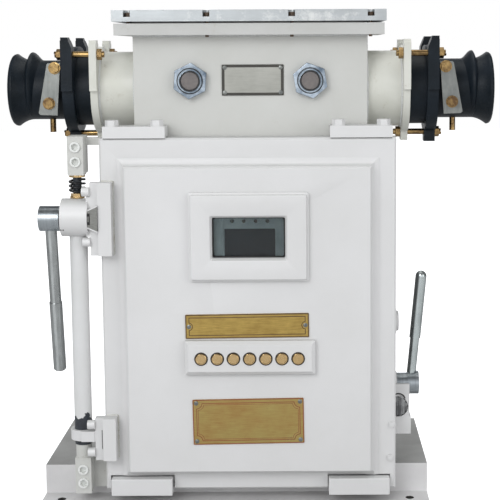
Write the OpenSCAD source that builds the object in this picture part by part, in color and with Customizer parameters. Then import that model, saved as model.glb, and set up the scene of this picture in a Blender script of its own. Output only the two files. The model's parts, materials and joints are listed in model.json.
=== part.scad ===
// Flameproof vacuum starter: a welded steel box on a base channel, a quick-opening door that
// lifts and swings on a hinge shaft, a cable box on top with two bell-mouth cable entries.
// Millimetres. X runs to the right, Y away from the reader, Z up. The pieces are drawn with
// Y = 0 on the front face of the door's flange and Z = 0 on the floor, and at_origin() then
// carries them to the middle of the footprint.

/* [Door] */
// Width of the flange beside the raised panel
door_margin = 42; // [38:1:50]
// Height of the door's flange plate
door_h = 587; // [560:1:620]
// Thickness of the door's flange plate
door_t = 20; // [16:1:24]
// Height of the door's lower edge above the floor
door_bottom = 29; // [26:1:34]
// Gap of the flat joint between the door and the housing
joint_gap = 0.3; // [0.2:0.1:0.5]
// Width of the raised front panel
panel_w = 398; // [370:2:404]
// Height of the raised front panel
panel_h = 505; // [480:1:515]
// Distance that the raised panel stands in front of the flange
panel_proud = 22; // [18:1:26]
// Wall of the raised panel
panel_wall = 8; // [6:1:10]
// Leg of the weld fillet round the raised panel
panel_weld = 14; // [8:1:16]

/* [Window] */
// Width of the window frame
frame_w = 194; // [180:2:210]
// Height of the window frame
frame_h = 145; // [135:1:155]
// Distance that the window frame stands in front of the panel
frame_proud = 12; // [8:1:14]
// Width of the window opening
window_w = 118; // [100:2:130]
// Height of the window opening
window_h = 66; // [56:1:76]
// Height of the window's middle above the floor
window_z = 457; // [450:1:464]
// Thickness of the window glass
glass_t = 7; // [6:0.5:7]

/* [Buttons and plates] */
// Number of push buttons
button_count = 7; // [7:1:7]
// Distance from one push button to the next
button_pitch = 26.2; // [24:0.2:28]
// Diameter of a push button's face
button_d = 18; // [15:0.5:18.5]
// Travel of a push button
button_travel = 4; // [3:0.5:4.5]
// Height of the row of buttons above the floor
button_z = 260; // [255:1:264]
// Width of the bar that carries the buttons
strip_w = 212; // [200:2:230]
// Height of the bar that carries the buttons
strip_h = 56; // [50:1:60]
// Distance that the bar stands in front of the panel
strip_proud = 14; // [12:1:16]
// Width of the plate above the buttons
label_w = 201; // [180:1:220]
// Height of the plate above the buttons
label_h = 40; // [34:1:42]
// Width of the plate at the foot of the door
lower_plate_w = 182; // [160:1:200]
// Height of the plate at the foot of the door
lower_plate_h = 76; // [60:1:84]
// Thickness of the sheet metal plates
plate_t = 1.6; // [1:0.1:2]

/* [Housing] */
// Distance of the housing's side walls in from the door's side edges
body_inset = 15; // [11:0.5:21]
// Depth of the housing from the door joint to its back
body_d = 265; // [250:1:270]
// Wall of the housing
body_wall = 8; // [6:1:10]
// Thickness of the housing's front flange
body_flange_t = 20; // [16:1:20]
// Distance from the flange's top edge down to the housing's roof
roof_drop = 16; // [10:1:20]

/* [Base] */
// Left end of the base channel
base_left = -351; // [-370:1:-340]
// Right end of the base channel
base_right = 298; // [280:1:320]
// Distance of the channel's front web behind the door's front face
base_front = 42.5; // [42:0.5:46]
// Depth of the channel over its webs
base_d = 252; // [245:1:260]
// Height of the channel
base_h = 57; // [54:1:62]
// Thickness of the channel
base_t = 8; // [6:1:10]
// Width of each foot flange
foot_w = 60; // [56:1:70]
// Diameter of the foundation holes
foot_hole_d = 14; // [11:1:18]
// Distance of the foundation holes from the ends of the channel
foot_hole_inset = 32; // [28:1:40]

/* [Cable box] */
// Distance of the cable box to the right of the door's middle
box_shift = 3.5; // [0:0.5:6]
// Width of the cable box
box_w = 384; // [370:2:400]
// Depth of the cable box
box_d = 150; // [146:1:160]
// Distance of the cable box behind the door's front face
box_front = 45; // [44:0.5:48]
// Height of the cable box's rim above the floor
box_rim_z = 803.4; // [790:0.2:806]
// Wall of the cable box
box_wall = 10; // [8:1:12]
// Width of the rim
rim_w = 438; // [430:2:450]
// Depth of the rim
rim_d = 205; // [200:1:214]
// Thickness of the rim
rim_t = 18.8; // [14:0.2:20]
// Width of the lid
lid_w = 444; // [436:2:456]
// Depth of the lid
lid_d = 211; // [206:1:220]
// Thickness of the lid
lid_t = 18.6; // [16:0.2:24]
// Open seam between rim and lid
lid_seam = 3; // [0.8:0.1:4]

/* [Main cable entries] */
// Height of the cable entries above the floor
entry_z = 691; // [686:1:696]
// Distance of the cable entries behind the door's front face
entry_y = 120; // [116:1:124]
// Outer diameter of the nozzle
nozzle_d = 128; // [122:1:132]
// Bore of the nozzle
nozzle_bore = 104; // [98:1:106]
// Outer face of the nozzle's flange, from the middle of the starter
nozzle_face = 264; // [258:1:270]
// Thickness of the nozzle's flange
nozzle_flange_t = 12; // [10:1:14]
// Diameter of the lugged flanges
lug_disc_d = 146; // [140:1:150]
// Distance between the two upper lugs
lug_span = 136; // [130:1:142]
// Height of the upper lugs' studs above the entry's axis
lug_rise = 60; // [54:1:64]
// Distance of the lower lug's stud under the entry's axis
lug_drop = 74; // [73:1:76]
// Width of a lug
lug_w = 26; // [22:1:30]
// Diameter of the flange studs
stud_d = 10; // [8:1:12]
// Overall width over the two bell mouths
overall_w = 810; // [800:2:820]
// Bore of the bell mouth's neck
bell_bore = 76; // [66:1:80]
// Outer diameter of the bell mouth's neck
bell_neck_d = 100; // [96:1:104]
// Outer diameter of the bell mouth's rim
bell_rim_d = 122; // [116:1:126]

/* [Control cable entries] */
// Distance between the two control cable entries
gland_span = 197; // [190:1:200]
// Height of the control cable entries above the floor
gland_z = 707; // [702:1:712]
// Width across the flats of the gland hexagon
gland_af = 52; // [46:1:54]
// Bore of the control gland
gland_bore = 26; // [22:1:28]

/* [Hinge shaft and lift] */
// Distance of the hinge shaft's axis beyond the door's edge
shaft_off = 37; // [36:0.5:43]
// Distance of the hinge shaft's axis behind the door's front face
shaft_y = 6; // [5:0.5:7]
// Diameter of the hinge shaft
shaft_d = 29; // [25:0.5:30]
// Diameter of the hinge shaft's spring end
shaft_end_d = 14; // [12:0.5:15]
// Lift of the door
lift = 10; // [8:0.5:11]
// Height of the eccentric's axis above the floor
cam_z = 488; // [484:1:492]
// Outer diameter of the eccentric's housing
cam_house_d = 62; // [60:1:66]
// Diameter of the lift lever's hub
lever_hub_d = 41; // [38:1:44]
// Length of the lift lever from its axis to its end
lever_len = 288; // [260:1:300]
// Diameter of the lift lever's rod
lever_rod_d = 18.5; // [16:0.5:20]
// Diameter of the lift lever's grip
lever_grip_d = 21; // [19:0.5:23]
// Angle at which the lift lever hangs behind the vertical
lever_lean = 9.4; // [0:0.2:12]

/* [Isolating switch] */
// Distance of the switch's axis behind the door's front face
iso_y = 70; // [66:1:76]
// Height of the switch's axis above the floor
iso_z = 190.5; // [182:0.5:194]
// Diameter of the switch lever's hub
iso_hub_d = 39; // [36:1:42]
// Length of the switch lever
iso_len = 194; // [180:1:205]
// Diameter of the switch lever's rod
iso_rod_d = 15.5; // [13:0.5:16]
// Diameter of the stop button
stop_d = 33; // [30:1:35]
// Travel of the stop button
stop_travel = 6; // [4:0.5:7]

/* [Hidden] */
$fn = 64;
clear = 0.3;   // gap between pieces that only lie against each other
fit = 0.05;    // radial clearance of a running fit
eps = 0.01;    // overlap that keeps a cut from leaving a skin

// Heights of the door and housing
door_w = panel_w + 2 * door_margin;
body_w = door_w - 2 * body_inset;
door_top = door_bottom + door_h;
door_mid = door_bottom + door_h / 2;
panel_z = door_bottom + 36 + panel_h / 2;
panel_face = -panel_proud;
body_front = door_t + joint_gap;
body_back = body_front + body_d;
body_roof = door_top - roof_drop;
door_open_w = panel_w - 2 * panel_wall;
door_open_h = panel_h - 2 * panel_wall;

// Footprint: the front reach is a push button's face and the back reach is the rear foot
button_stick = 3;
front_reach = panel_face - strip_proud - button_stick;
back_reach = base_front + base_d + foot_w;
middle_y = (front_reach + back_reach) / 2;

// Window and display
frame_x = 1.5;
frame_z = window_z + 1;
window_x = 1.5;
glass_step = 7;
display_y = panel_face + panel_wall + eps;
controller_y = display_y + 8;

// Plates
label_x = -2.5;
label_z = 311.5;
lower_plate_x = -2;
lower_plate_z = 152;
badge_w = 102;
badge_h = 51;
badge_x = 4;
badge_z = 708;
rivet_d = 7;
rivet_rise = 1.4;

// Buttons
button_x = 1.5;
strip_x = 2;
strip_z = 260.5;
button_y = panel_face - strip_proud;
button_flange_d = button_d + 6;
button_stem_d = 8;
button_guide_d = 14;

// Door hooks
hook_w = 101;
hook_x = 184;
hook_h = 19;
hook_back = 42;
hook_bolt_span = 73;
foot_hook_x = 180;
foot_hook_h = 28.5;
foot_hook_t = 17.5;
foot_hook_drop = 5.5;
foot_hook_gap = 3;

// Cable box
seam = 0.03;
box_back = box_front + box_d;
box_floor_z = body_roof;
box_top = box_rim_z - lid_seam;
rim_y = box_front + box_d / 2;
lid_bolt_x = [-197, -69, 69, 197];
lid_bolt_y = (rim_d + box_d) / 4;
lid_bolt_d = 6;
lid_top = box_rim_z + lid_t;

// Main cable entries, measured outwards from the nozzle's flange
seal_len = 34;
disc_x = nozzle_face - 14.1;
gland_len = 28;
lug_t = 18.5;
bell_plate = nozzle_face + gland_len;
bell_neck = bell_plate + lug_t;
bell_end = overall_w / 2;
stud_in = nozzle_face - nozzle_flange_t - 12;
stud_out = bell_neck + 11;

// Through terminals from the housing into the cable box
post_x = [-140, -100, -60, 60, 100, 140];
post_d = 28;

// Hinge shaft
shaft_x = -door_w / 2 - shaft_off;
bracket_w = 26;
bracket_h = 63;
bracket_top_z = door_bottom + 528;
bracket_foot_z = door_bottom - 4;
bracket_foot_h = 60.5;
foot_top = bracket_foot_z + bracket_foot_h + 22.5;
foot_journal_r = 9;
bracket_front = shaft_y - bracket_w / 2;
bracket_back = body_front;
cam_house_x0 = shaft_x - 24;
cam_house_x1 = shaft_x + 20;
cam_wall = 5;
cam_throw = lift / sqrt(2);
cam_pin_r = 4;
cam_play = 0.6;
cam_neck_r = 7;
cam_y = shaft_y - cam_neck_r - 0.6 - cam_pin_r - cam_throw;
cam_journal_r = 12;
neck_z = cam_z + cam_throw * sin(45);
neck_lo = neck_z - cam_pin_r - cam_play;
neck_hi = neck_z + cam_pin_r + cam_play;
cam_top = cam_z + cam_house_d / 2;
seat_h = 7.5;
washer_h = 3.5;
spring_lo = cam_top + clear + seat_h;
spring_hi = bracket_top_z - clear - washer_h;
spring_od = 28;
spring_wire = 3.8;
spring_turns = 3;

// Hinge plates on the door
hinge_gap = 7;
hinge_step = 21.5;
hinge_x1 = -panel_w / 2 - panel_weld - hinge_gap;
hinge_x0 = hinge_x1 - 35;
hinge_t = panel_proud;
upper_hinge_z0 = door_bottom + 398;
upper_hinge_h = 119;
lower_hinge_z0 = door_bottom + 56;
lower_hinge_h = 71;
eye_z0 = door_bottom + 87.5;
eye_h = 17.5;
eye_d = 41;
hinge_bolt_y = -16;
hinge_bolt_r = 7.5;
hinge_bolt_len = 12;

// Lift lever
lever_hub_x0 = cam_house_x0 - 1 - 33;
lever_hub_x1 = cam_house_x0 - 1;
lever_rod_x = (lever_hub_x0 + lever_hub_x1) / 2;

// Isolating switch
side_x = body_w / 2;
flange_x = door_w / 2;
iso_boss_x = side_x + 21;
iso_cap_x = iso_boss_x + 18.7;
iso_end_x = iso_boss_x + 37.5;
guard_y = body_front + body_flange_t + 4;
guard_z0 = 108;
guard_z1 = 194;
block_z1 = 138;
pocket_z1 = 168.5;
stop_x = flange_x + 7;
guard_x1 = stop_x + 19.5;
stop_z = 155;

// Inside
tray_t = 4;
tray_y = body_back - body_wall - 12;
tray_x = body_w / 2 - 31;
tray_z0 = base_h + 23;
tray_z1 = body_roof - 25;
trafo_w = 90;
trafo_h = 80;
trafo_x = tray_x - 15;

paint = "ivory";
steel = "silver";
zinc = "goldenrod";
iron = "dimgray";
brass = "darkgoldenrod";

// Carries a piece from the drawing's place to the middle of the footprint
module at_origin() {
  translate([-box_shift, -middle_y, 0]) children();
}

// The same for the cable box and everything on it
module on_box() {
  translate([0, -middle_y, 0]) children();
}

// A box from one corner to the opposite one
module span(lo, hi) {
  translate(lo) cube(hi - lo);
}

// A cylinder along X
module rod_x(x0, x1, r, y = 0, z = 0) {
  translate([x0, y, z]) rotate([0, 90, 0]) cylinder(h = x1 - x0, r = r);
}

// A cylinder along Y
module rod_y(y0, y1, r, x = 0, z = 0) {
  translate([x, y0, z]) rotate([-90, 0, 0]) cylinder(h = y1 - y0, r = r);
}

// A cylinder along Z
module rod_z(z0, z1, r, x = 0, y = 0) {
  translate([x, y, z0]) cylinder(h = z1 - z0, r = r);
}

// A hexagonal prism along Z, given across its flats
module hex_z(z0, z1, af, x = 0, y = 0) {
  translate([x, y, z0]) cylinder(h = z1 - z0, d = af / cos(30), $fn = 6);
}

// A hexagonal prism along Y with a point at the top
module hex_y(y0, y1, af, x = 0, z = 0) {
  translate([x, y0, z]) rotate([-90, 0, 0]) rotate(30) cylinder(h = y1 - y0, d = af / cos(30), $fn = 6);
}

// A hexagonal prism along X
module hex_x(x0, x1, af, y = 0, z = 0) {
  translate([x0, y, z]) rotate([0, 90, 0]) cylinder(h = x1 - x0, d = af / cos(30), $fn = 6);
}

// Half of a slab's outline, chamfered at its front
function bevel_outline(half, t, b) =
  [[-half, 0], [half, 0], [half, -(t - b)], [half - b, -t], [b - half, -t], [-half, -(t - b)]];

// A slab on the plane y = 0 that stands t towards the reader, its front edges chamfered by b
module bevel_slab(w, h, t, b) {
  intersection() {
    translate([0, 0, -h / 2]) linear_extrude(h) polygon(bevel_outline(w / 2, t, b));
    translate([-w / 2, 0, 0]) rotate([90, 0, 90]) linear_extrude(w)
      polygon([for (p = bevel_outline(h / 2, t, b)) [p[1], p[0]]]);
  }
}

// A domed rivet head whose flat back lies on y = 0 and that faces the reader
module rivet(d = rivet_d, rise = rivet_rise) {
  r = (d * d / 4 + rise * rise) / (2 * rise);
  intersection() {
    translate([0, r - rise, 0]) sphere(r = r, $fn = 48);
    rod_y(-rise - 1, 0, d / 2);
  }
}

// A thin plate on y = 0, with rivets at the given places on its face
module riveted_plate(w, h, rivets) {
  translate([-w / 2, -plate_t, -h / 2]) cube([w, plate_t, h]);
  for (p = rivets) translate([p[0], -plate_t, p[1]]) rivet();
}

function four(dx, dz) = [[-dx, -dz], [dx, -dz], [-dx, dz], [dx, dz]];

// Hat-shaped channel across the floor, with a foot flange in front and one behind
module base_frame() color(iron) at_origin() difference() {
  translate([base_left, 0, 0]) rotate([90, 0, 90]) linear_extrude(base_right - base_left)
    polygon([
      [base_front - foot_w, 0], [base_front + base_t, 0], [base_front + base_t, base_h - base_t],
      [base_front + base_d - base_t, base_h - base_t], [base_front + base_d - base_t, 0],
      [base_front + base_d + foot_w, 0], [base_front + base_d + foot_w, base_t],
      [base_front + base_d, base_t], [base_front + base_d, base_h], [base_front, base_h],
      [base_front, base_t], [base_front - foot_w, base_t]
    ]);
  for (x = [base_left + foot_hole_inset, base_right - foot_hole_inset])
    for (y = [base_front - foot_w / 2, base_front + base_d + foot_w / 2])
      rod_z(-1, base_t + 1, foot_hole_d / 2, x, y);
}

// Welded box, open at the front, with a wide flat flange for the door
module main_housing() color(paint) at_origin() difference() {
  union() {
    span([-door_w / 2, body_front, door_bottom], [door_w / 2, body_front + body_flange_t, door_top]);
    span([-body_w / 2, body_front + body_flange_t - 1, base_h], [body_w / 2, body_back, body_roof]);
  }
  span([-body_w / 2 + body_wall, body_front - 1, base_h + body_wall],
       [body_w / 2 - body_wall, body_back - body_wall, body_roof - body_wall]);
  for (x = post_x) rod_z(body_roof - body_wall - 1, body_roof + 1, post_d / 2 + fit, x + box_shift, entry_y);
  rod_x(side_x - body_wall - 1, side_x + 1, 12 + fit, iso_y, iso_z);
}

// Welded box for the cable ends, open at the top, with a broad rim for the lid
module cable_box() color(paint) on_box() difference() {
  union() {
    span([-box_w / 2, box_front, box_floor_z], [box_w / 2, box_front + box_wall, box_top - rim_t - seam]);
    span([-box_w / 2, box_back - box_wall, box_floor_z], [box_w / 2, box_back, box_top - rim_t - seam]);
    span([-box_w / 2 + box_wall + seam, box_front + box_wall + seam, box_floor_z],
         [box_w / 2 - box_wall - seam, box_back - box_wall - seam, box_floor_z + box_wall]);
  }
  for (x = post_x) rod_z(box_floor_z - 1, box_floor_z + box_wall + 1, post_d / 2 + fit, x, entry_y);
  for (s = [-1, 1]) rod_y(box_front - 1, box_front + box_wall + 1, gland_bore / 2, s * gland_span / 2, gland_z);
}

// End plates of the cable box, each with the hole of its main entry
module cable_box_ends() color(paint) on_box() for (s = [0, 1]) mirror([s, 0, 0]) difference() {
  span([box_w / 2 - box_wall, box_front + box_wall + seam, box_floor_z],
       [box_w / 2, box_back - box_wall - seam, box_top - rim_t - seam]);
  rod_x(box_w / 2 - box_wall - 1, box_w / 2 + 1, nozzle_bore / 2, entry_y, entry_z);
}

// Rim with a raised strip for the lid and a tapped hole for each of its screws
module cable_box_rim() color(paint) on_box() difference() {
  union() {
    span([-rim_w / 2, rim_y - rim_d / 2, box_top - rim_t], [rim_w / 2, rim_y + rim_d / 2, box_top]);
    span([-box_w / 2, box_front, box_top - 1], [box_w / 2, box_back, box_rim_z]);
  }
  span([-box_w / 2 + box_wall, box_front + box_wall, box_top - rim_t - 1],
       [box_w / 2 - box_wall, box_back - box_wall, box_rim_z + 1]);
  for (x = lid_bolt_x) for (s = [-1, 1]) rod_z(box_top - 14, box_top + 1, lid_bolt_d / 2 + fit, x, rim_y + s * lid_bolt_y);
}

// Lid plate with a notch in its edge over each bolt
module cable_box_lid() color(steel) on_box() difference() {
  union() {
    span([-lid_w / 2, rim_y - lid_d / 2, box_rim_z + clear / 10],
         [lid_w / 2, rim_y + lid_d / 2, lid_top]);
    span([-box_w / 2 + box_wall + 1, box_front + box_wall + 1, box_rim_z - 6],
         [box_w / 2 - box_wall - 1, box_back - box_wall - 1, box_rim_z + 1]);
  }
  span([-box_w / 2 + box_wall + 9, box_front + box_wall + 9, box_rim_z - 7],
       [box_w / 2 - box_wall - 9, box_back - box_wall - 9, box_rim_z + 8]);
  for (x = lid_bolt_x)
    for (s = [-1, 1]) {
      y = rim_y + s * lid_bolt_y;
      rod_z(box_rim_z - 1, lid_top + 1, lid_bolt_d / 2 + fit, x, y);
      edge = rim_y + s * (lid_d / 2 + 1);
      span([x - 5.5, min(y, edge), lid_top - 11], [x + 5.5, max(y, edge), lid_top + 1]);
      rod_z(lid_top - 11, lid_top + 1, 5.5, x, y);
    }
}

// Eight screws tapped into the rim
module lid_bolts() color(iron) on_box() for (x = lid_bolt_x) for (s = [-1, 1]) {
  y = rim_y + s * lid_bolt_y;
  rod_z(lid_top - 11 + eps, lid_top - 4, 5, x, y);
  rod_z(box_top - 13, lid_top - 11 + 2 * eps, lid_bolt_d / 2, x, y);
}

// Outline of a lugged flange, seen along the entry's axis: a disc with two lugs up and one down
module lug_outline(r, reach, foot) {
  circle(r = r, $fn = 96);
  for (s = [-1, 1]) translate([s * lug_span / 2, 0]) {
    translate([-lug_w / 2, 0]) square([lug_w, lug_rise + reach - 5]);
    translate([-lug_w / 2 + 4, 0]) square([lug_w - 8, lug_rise + reach]);
  }
  translate([-lug_w / 2, -lug_drop - foot]) square([lug_w, lug_drop]);
}

// Places of the three studs, across the axis and above it
stud_places = [[-lug_span / 2, lug_rise], [lug_span / 2, lug_rise], [0, -lug_drop]];

// Turns a flat outline into a plate across X, from x = 0 outwards
module across(t) {
  rotate([90, 0, 90]) linear_extrude(t) children();
}

// Short welded tube with a lugged flange
module nozzle(s) color(paint) on_box() translate([0, entry_y, entry_z]) mirror([s < 0 ? 1 : 0, 0, 0])
  difference() {
    union() {
      rod_x(box_w / 2 + clear / 10, nozzle_face - 1, nozzle_d / 2);
      translate([nozzle_face - nozzle_flange_t, 0, 0]) across(nozzle_flange_t) lug_outline(lug_disc_d / 2, 23, 14);
    }
    rod_x(box_w / 2 - 1, nozzle_face + 1, nozzle_bore / 2);
    for (p = stud_places)
      rod_x(nozzle_face - nozzle_flange_t - 1, nozzle_face + 1, stud_d / 2 + fit, p[0], p[1]);
  }

module cable_nozzle_left() nozzle(-1);
module cable_nozzle_right() nozzle(1);

// Turned outline of the bell mouth, as [distance along X, radius]
module bell_outline() {
  neck = bell_neck_d / 2;
  rim = bell_rim_d / 2;
  polygon([
    [nozzle_face - 14, 0], [nozzle_face - 14, nozzle_bore / 2 - fit],
    [nozzle_face + clear, nozzle_bore / 2 - fit], [nozzle_face + clear, 60], [bell_plate + 1, 60],
    [bell_neck - 1, neck + 4], [bell_neck + 3, neck],
    for (i = [0 : 12]) [bell_end - 34 + i * 2.25, neck + (rim - neck) * pow(i / 12, 2)],
    for (a = [80 : -20 : -60]) [bell_end - 6 + 6 * cos(a), rim - 6 + 6 * sin(a)],
    [bell_end - 3, 0]
  ]);
}

// The bell mouth's bore and its flare, to be cut out
module bell_hollow() {
  bore = bell_bore / 2;
  flare = bell_rim_d / 2 - 12 - bore;
  polygon([
    [nozzle_face - 20, 0], [nozzle_face - 20, bore],
    for (i = [0 : 8]) [bell_end - 44 + i * 5, bore + flare * pow(i / 8, 2)],
    [bell_end + 1, bore + flare + 1], [bell_end + 1, 0]
  ]);
}

// An eccentric second lobe round the neck, just inside the rim
module bell_lobe() {
  foot = bell_neck_d / 2 - 7;
  rotate([0, 90, 0]) translate([-7, 0, 0]) rotate(40) rotate_extrude() mirror([1, -1]) polygon([
    [bell_end - 51, 0],
    for (i = [0 : 8]) [bell_end - 51 + 19 * i / 8, foot + 14 * pow(sin(90 * i / 8), 2)],
    for (i = [1 : 6]) [bell_end - 32 + 9 * i / 6, foot + 14 * pow(cos(90 * i / 6), 2)],
    [bell_end - 23, 0]
  ]);
}

// Cast bell mouth: spigot, gland body, lugged plate, neck with clamp bosses, flared rim
module bell(s) color("black") on_box() translate([0, entry_y, entry_z]) mirror([s < 0 ? 1 : 0, 0, 0])
  difference() {
    union() {
      rotate([0, 90, 0]) rotate(40) rotate_extrude() mirror([1, -1]) bell_outline();
      difference() {
        translate([bell_plate, 0, 0]) across(lug_t) lug_outline(lug_disc_d / 2, 28, 16);
        rotate([90, 0, 0]) linear_extrude(220, center = true)
          polygon([[bell_plate - 1, lug_rise + 10], [bell_plate, lug_rise + 10],
                   [bell_plate + lug_t * 0.4, lug_rise + 29], [bell_plate - 1, lug_rise + 29]]);
      }
      bell_lobe();
      for (p = clamp_places) rod_y(-clamp_off + clear, -20, 8, bell_neck + p[0], p[1]);
    }
    rotate([0, 90, 0]) rotate(40) rotate_extrude() mirror([1, -1]) bell_hollow();
    for (p = stud_places) rod_x(bell_plate - 1, bell_neck + 1, stud_d / 2 + fit, p[0], p[1]);
    for (p = clamp_places) rod_y(-clamp_off - 1, -48, 4 + fit, bell_neck + p[0], p[1]);
    rod_z(-55, -bell_bore / 2 - 4, 5 + fit, bell_neck + clamp_stud);
  }

module bell_mouth_left() bell(-1);
module bell_mouth_right() bell(1);

// Rubber rings that the spigots press round the cables
module sealing_rings() color("black") on_box() for (s = [-1, 1])
  translate([0, entry_y, entry_z]) mirror([s < 0 ? 1 : 0, 0, 0]) difference() {
    rod_x(disc_x - 3 - seal_len, disc_x - 3, nozzle_bore / 2 - clear);
    rod_x(nozzle_face - 60, nozzle_face, 22);
  }

// Studs that draw each bell mouth onto its nozzle, with nuts and washers
module gland_studs() color(zinc) on_box() for (s = [-1, 1])
  translate([0, entry_y, entry_z]) mirror([s < 0 ? 1 : 0, 0, 0]) for (p = stud_places) {
    rod_x(stud_in, stud_out, stud_d / 2, p[0], p[1]);
    hex_x(bell_neck + eps, bell_neck + 8, 16, p[0], p[1]);
    hex_x(nozzle_face - nozzle_flange_t - 8, nozzle_face - nozzle_flange_t - eps, 16, p[0], p[1]);
  }

// Clamp strap in front of the neck: places of its bolts, as [beyond the lugged plate, height]
clamp_places = [[11, 38], [21.5, -20]];
clamp_off = 70;
clamp_t = 5;
clamp_stud = 31;

module clamp(s) color(steel) on_box() translate([0, entry_y, entry_z]) mirror([s < 0 ? 1 : 0, 0, 0])
  difference() {
    translate([bell_neck, -clamp_off, 0]) rotate([90, 0, 0]) linear_extrude(clamp_t)
      polygon([[1.5, 46], [22, 46], [24, 44], [39, -36], [36, -39], [8, -40]]);
    for (p = clamp_places) rod_y(-clamp_off - clamp_t - 1, -clamp_off + 1, 4 + fit, bell_neck + p[0], p[1]);
  }

module cable_clamp_left() clamp(-1);
module cable_clamp_right() clamp(1);

// Hexagon bolts through each strap, and the stud that stands out under each neck
module clamp_bolts() color(zinc) on_box() for (s = [-1, 1])
  translate([0, entry_y, entry_z]) mirror([s < 0 ? 1 : 0, 0, 0]) {
    for (p = clamp_places) {
      rod_y(-clamp_off - clamp_t - 1.5, -clamp_off - clamp_t - eps, 10, bell_neck + p[0], p[1]);
      hex_y(-clamp_off - clamp_t - 8, -clamp_off - clamp_t - 1.4, 15, bell_neck + p[0], p[1]);
      rod_y(-clamp_off - clamp_t - 1, -50, 4, bell_neck + p[0], p[1]);
    }
    rod_z(-72, -bell_bore / 2 - 5, 5, bell_neck + clamp_stud);
  }

// Hexagon gland screwed into the front of the cable box, with a raised ring
module control_gland(x, turn) color("lightsteelblue") on_box() difference() {
  union() {
    translate([x, 0, gland_z]) rotate([0, turn, 0]) hex_y(box_front - 12, box_front - eps, gland_af);
    rod_y(box_front - 15, box_front - 11, 17.5, x, gland_z);
    rod_y(box_front - 1, box_front + box_wall, gland_bore / 2 - fit, x, gland_z);
  }
  rod_y(box_front - 16, box_front - 11, 14.6, x, gland_z);
  rod_y(box_front - 12, box_front + box_wall + 1, 9, x, gland_z);
}

module control_gland_left() control_gland(-gland_span / 2, 4);
module control_gland_right() control_gland(gland_span / 2, -10);

// Steel discs that close the unused entries
module blanking_discs() color("gray") on_box() {
  for (s = [-1, 1]) {
    rod_y(box_front - 13.5, box_front - 11 - eps, 14.5, s * gland_span / 2, gland_z);
    translate([0, entry_y, entry_z]) mirror([s < 0 ? 1 : 0, 0, 0])
      rod_x(disc_x - 3 + eps, disc_x, nozzle_bore / 2 - clear);
  }
}

// Blank badge plate on the cable box
module badge_plate() color(steel) on_box()
  translate([badge_x, box_front - eps, badge_z])
    riveted_plate(badge_w, badge_h, four(badge_w / 2 - 6, badge_h / 2 - 6));

// Fixed shaft: full diameter up to the eccentric's neck, then a thin end for the spring
module hinge_shaft() color(iron) at_origin() {
  rod_z(foot_top - 28, foot_top + 1, foot_journal_r, shaft_x, shaft_y);
  rod_z(foot_top + eps, neck_lo, shaft_d / 2, shaft_x, shaft_y);
  rod_z(neck_lo - 1, neck_hi + 1, cam_neck_r, shaft_x, shaft_y);
  rod_z(neck_hi, neck_hi + 6, shaft_d / 2 - 0.5, shaft_x, shaft_y);
  rod_z(neck_hi + 5, bracket_top_z + 12, shaft_end_d / 2, shaft_x, shaft_y);
}

// A block for one end of the shaft on an arm welded to the housing's flange
module bracket(z0, h, arm_z0, sleeve_top, bore_r, bore_z0, bore_z1, screws) color(paint) at_origin() difference() {
  union() {
    span([shaft_x - bracket_w / 2, bracket_front, z0], [shaft_x + bracket_w / 2, bracket_back - 2, z0 + h]);
    span([shaft_x - bracket_w / 2, bracket_back - 3, z0 + 2], [shaft_x + bracket_w / 2, bracket_back + 15, z0 + h]);
    span([shaft_x + bracket_w / 2 - 1, bracket_back - 3, arm_z0], [-flange_x, bracket_back + 15, min(z0 + h, door_top)]);
    if (sleeve_top > z0 + h) rod_z(z0 + h - 1, sleeve_top, bracket_w / 2, shaft_x, shaft_y);
  }
  span([shaft_x + bracket_w / 2, bracket_back - 4, z0 - 1], [-flange_x + 1, bracket_back + 0.5, z0 + h + 1]);
  rod_z(bore_z0, bore_z1, bore_r + fit, shaft_x, shaft_y);
  for (z = screws) rod_y(bracket_front - 1, bracket_front + 7, 8.6, shaft_x, z);
}

top_screws = [bracket_top_z + 22, bracket_top_z + 46];
foot_screws = [bracket_foot_z + 18, bracket_foot_z + 41];

module hinge_bracket_top()
  bracket(bracket_top_z, bracket_h, bracket_top_z + 47, 0, shaft_end_d / 2, bracket_top_z - 1, bracket_top_z + 12, top_screws);
module hinge_bracket_foot()
  bracket(bracket_foot_z, bracket_foot_h, bracket_foot_z + 2, foot_top, foot_journal_r, foot_top - 29, foot_top + 1, foot_screws);

// Socket screws in the two brackets
module bracket_screws() color(paint) at_origin() for (z = concat(top_screws, foot_screws)) difference() {
  rod_y(bracket_front - 3, bracket_front + 7 - eps, 8.5, shaft_x, z);
  hex_y(bracket_front - 4, bracket_front + 3, 10.5, shaft_x, z);
}

// Washer under the upper bracket, spring, and the seat that rides on the eccentric's housing
module spring_washer() color(brass) at_origin() difference() {
  rod_z(spring_hi + clear, bracket_top_z - eps, 13, shaft_x, shaft_y);
  rod_z(spring_hi, bracket_top_z + 1, shaft_end_d / 2 + fit, shaft_x, shaft_y);
}

module spring_seat() color(brass) at_origin() difference() {
  union() {
    rod_z(cam_top + clear, cam_top + 3, 12, shaft_x, shaft_y);
    hex_z(cam_top + 2, spring_lo, 19, shaft_x, shaft_y);
  }
  rod_z(cam_top - 1, spring_lo + 1, shaft_end_d / 2 + fit, shaft_x, shaft_y);
}

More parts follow.
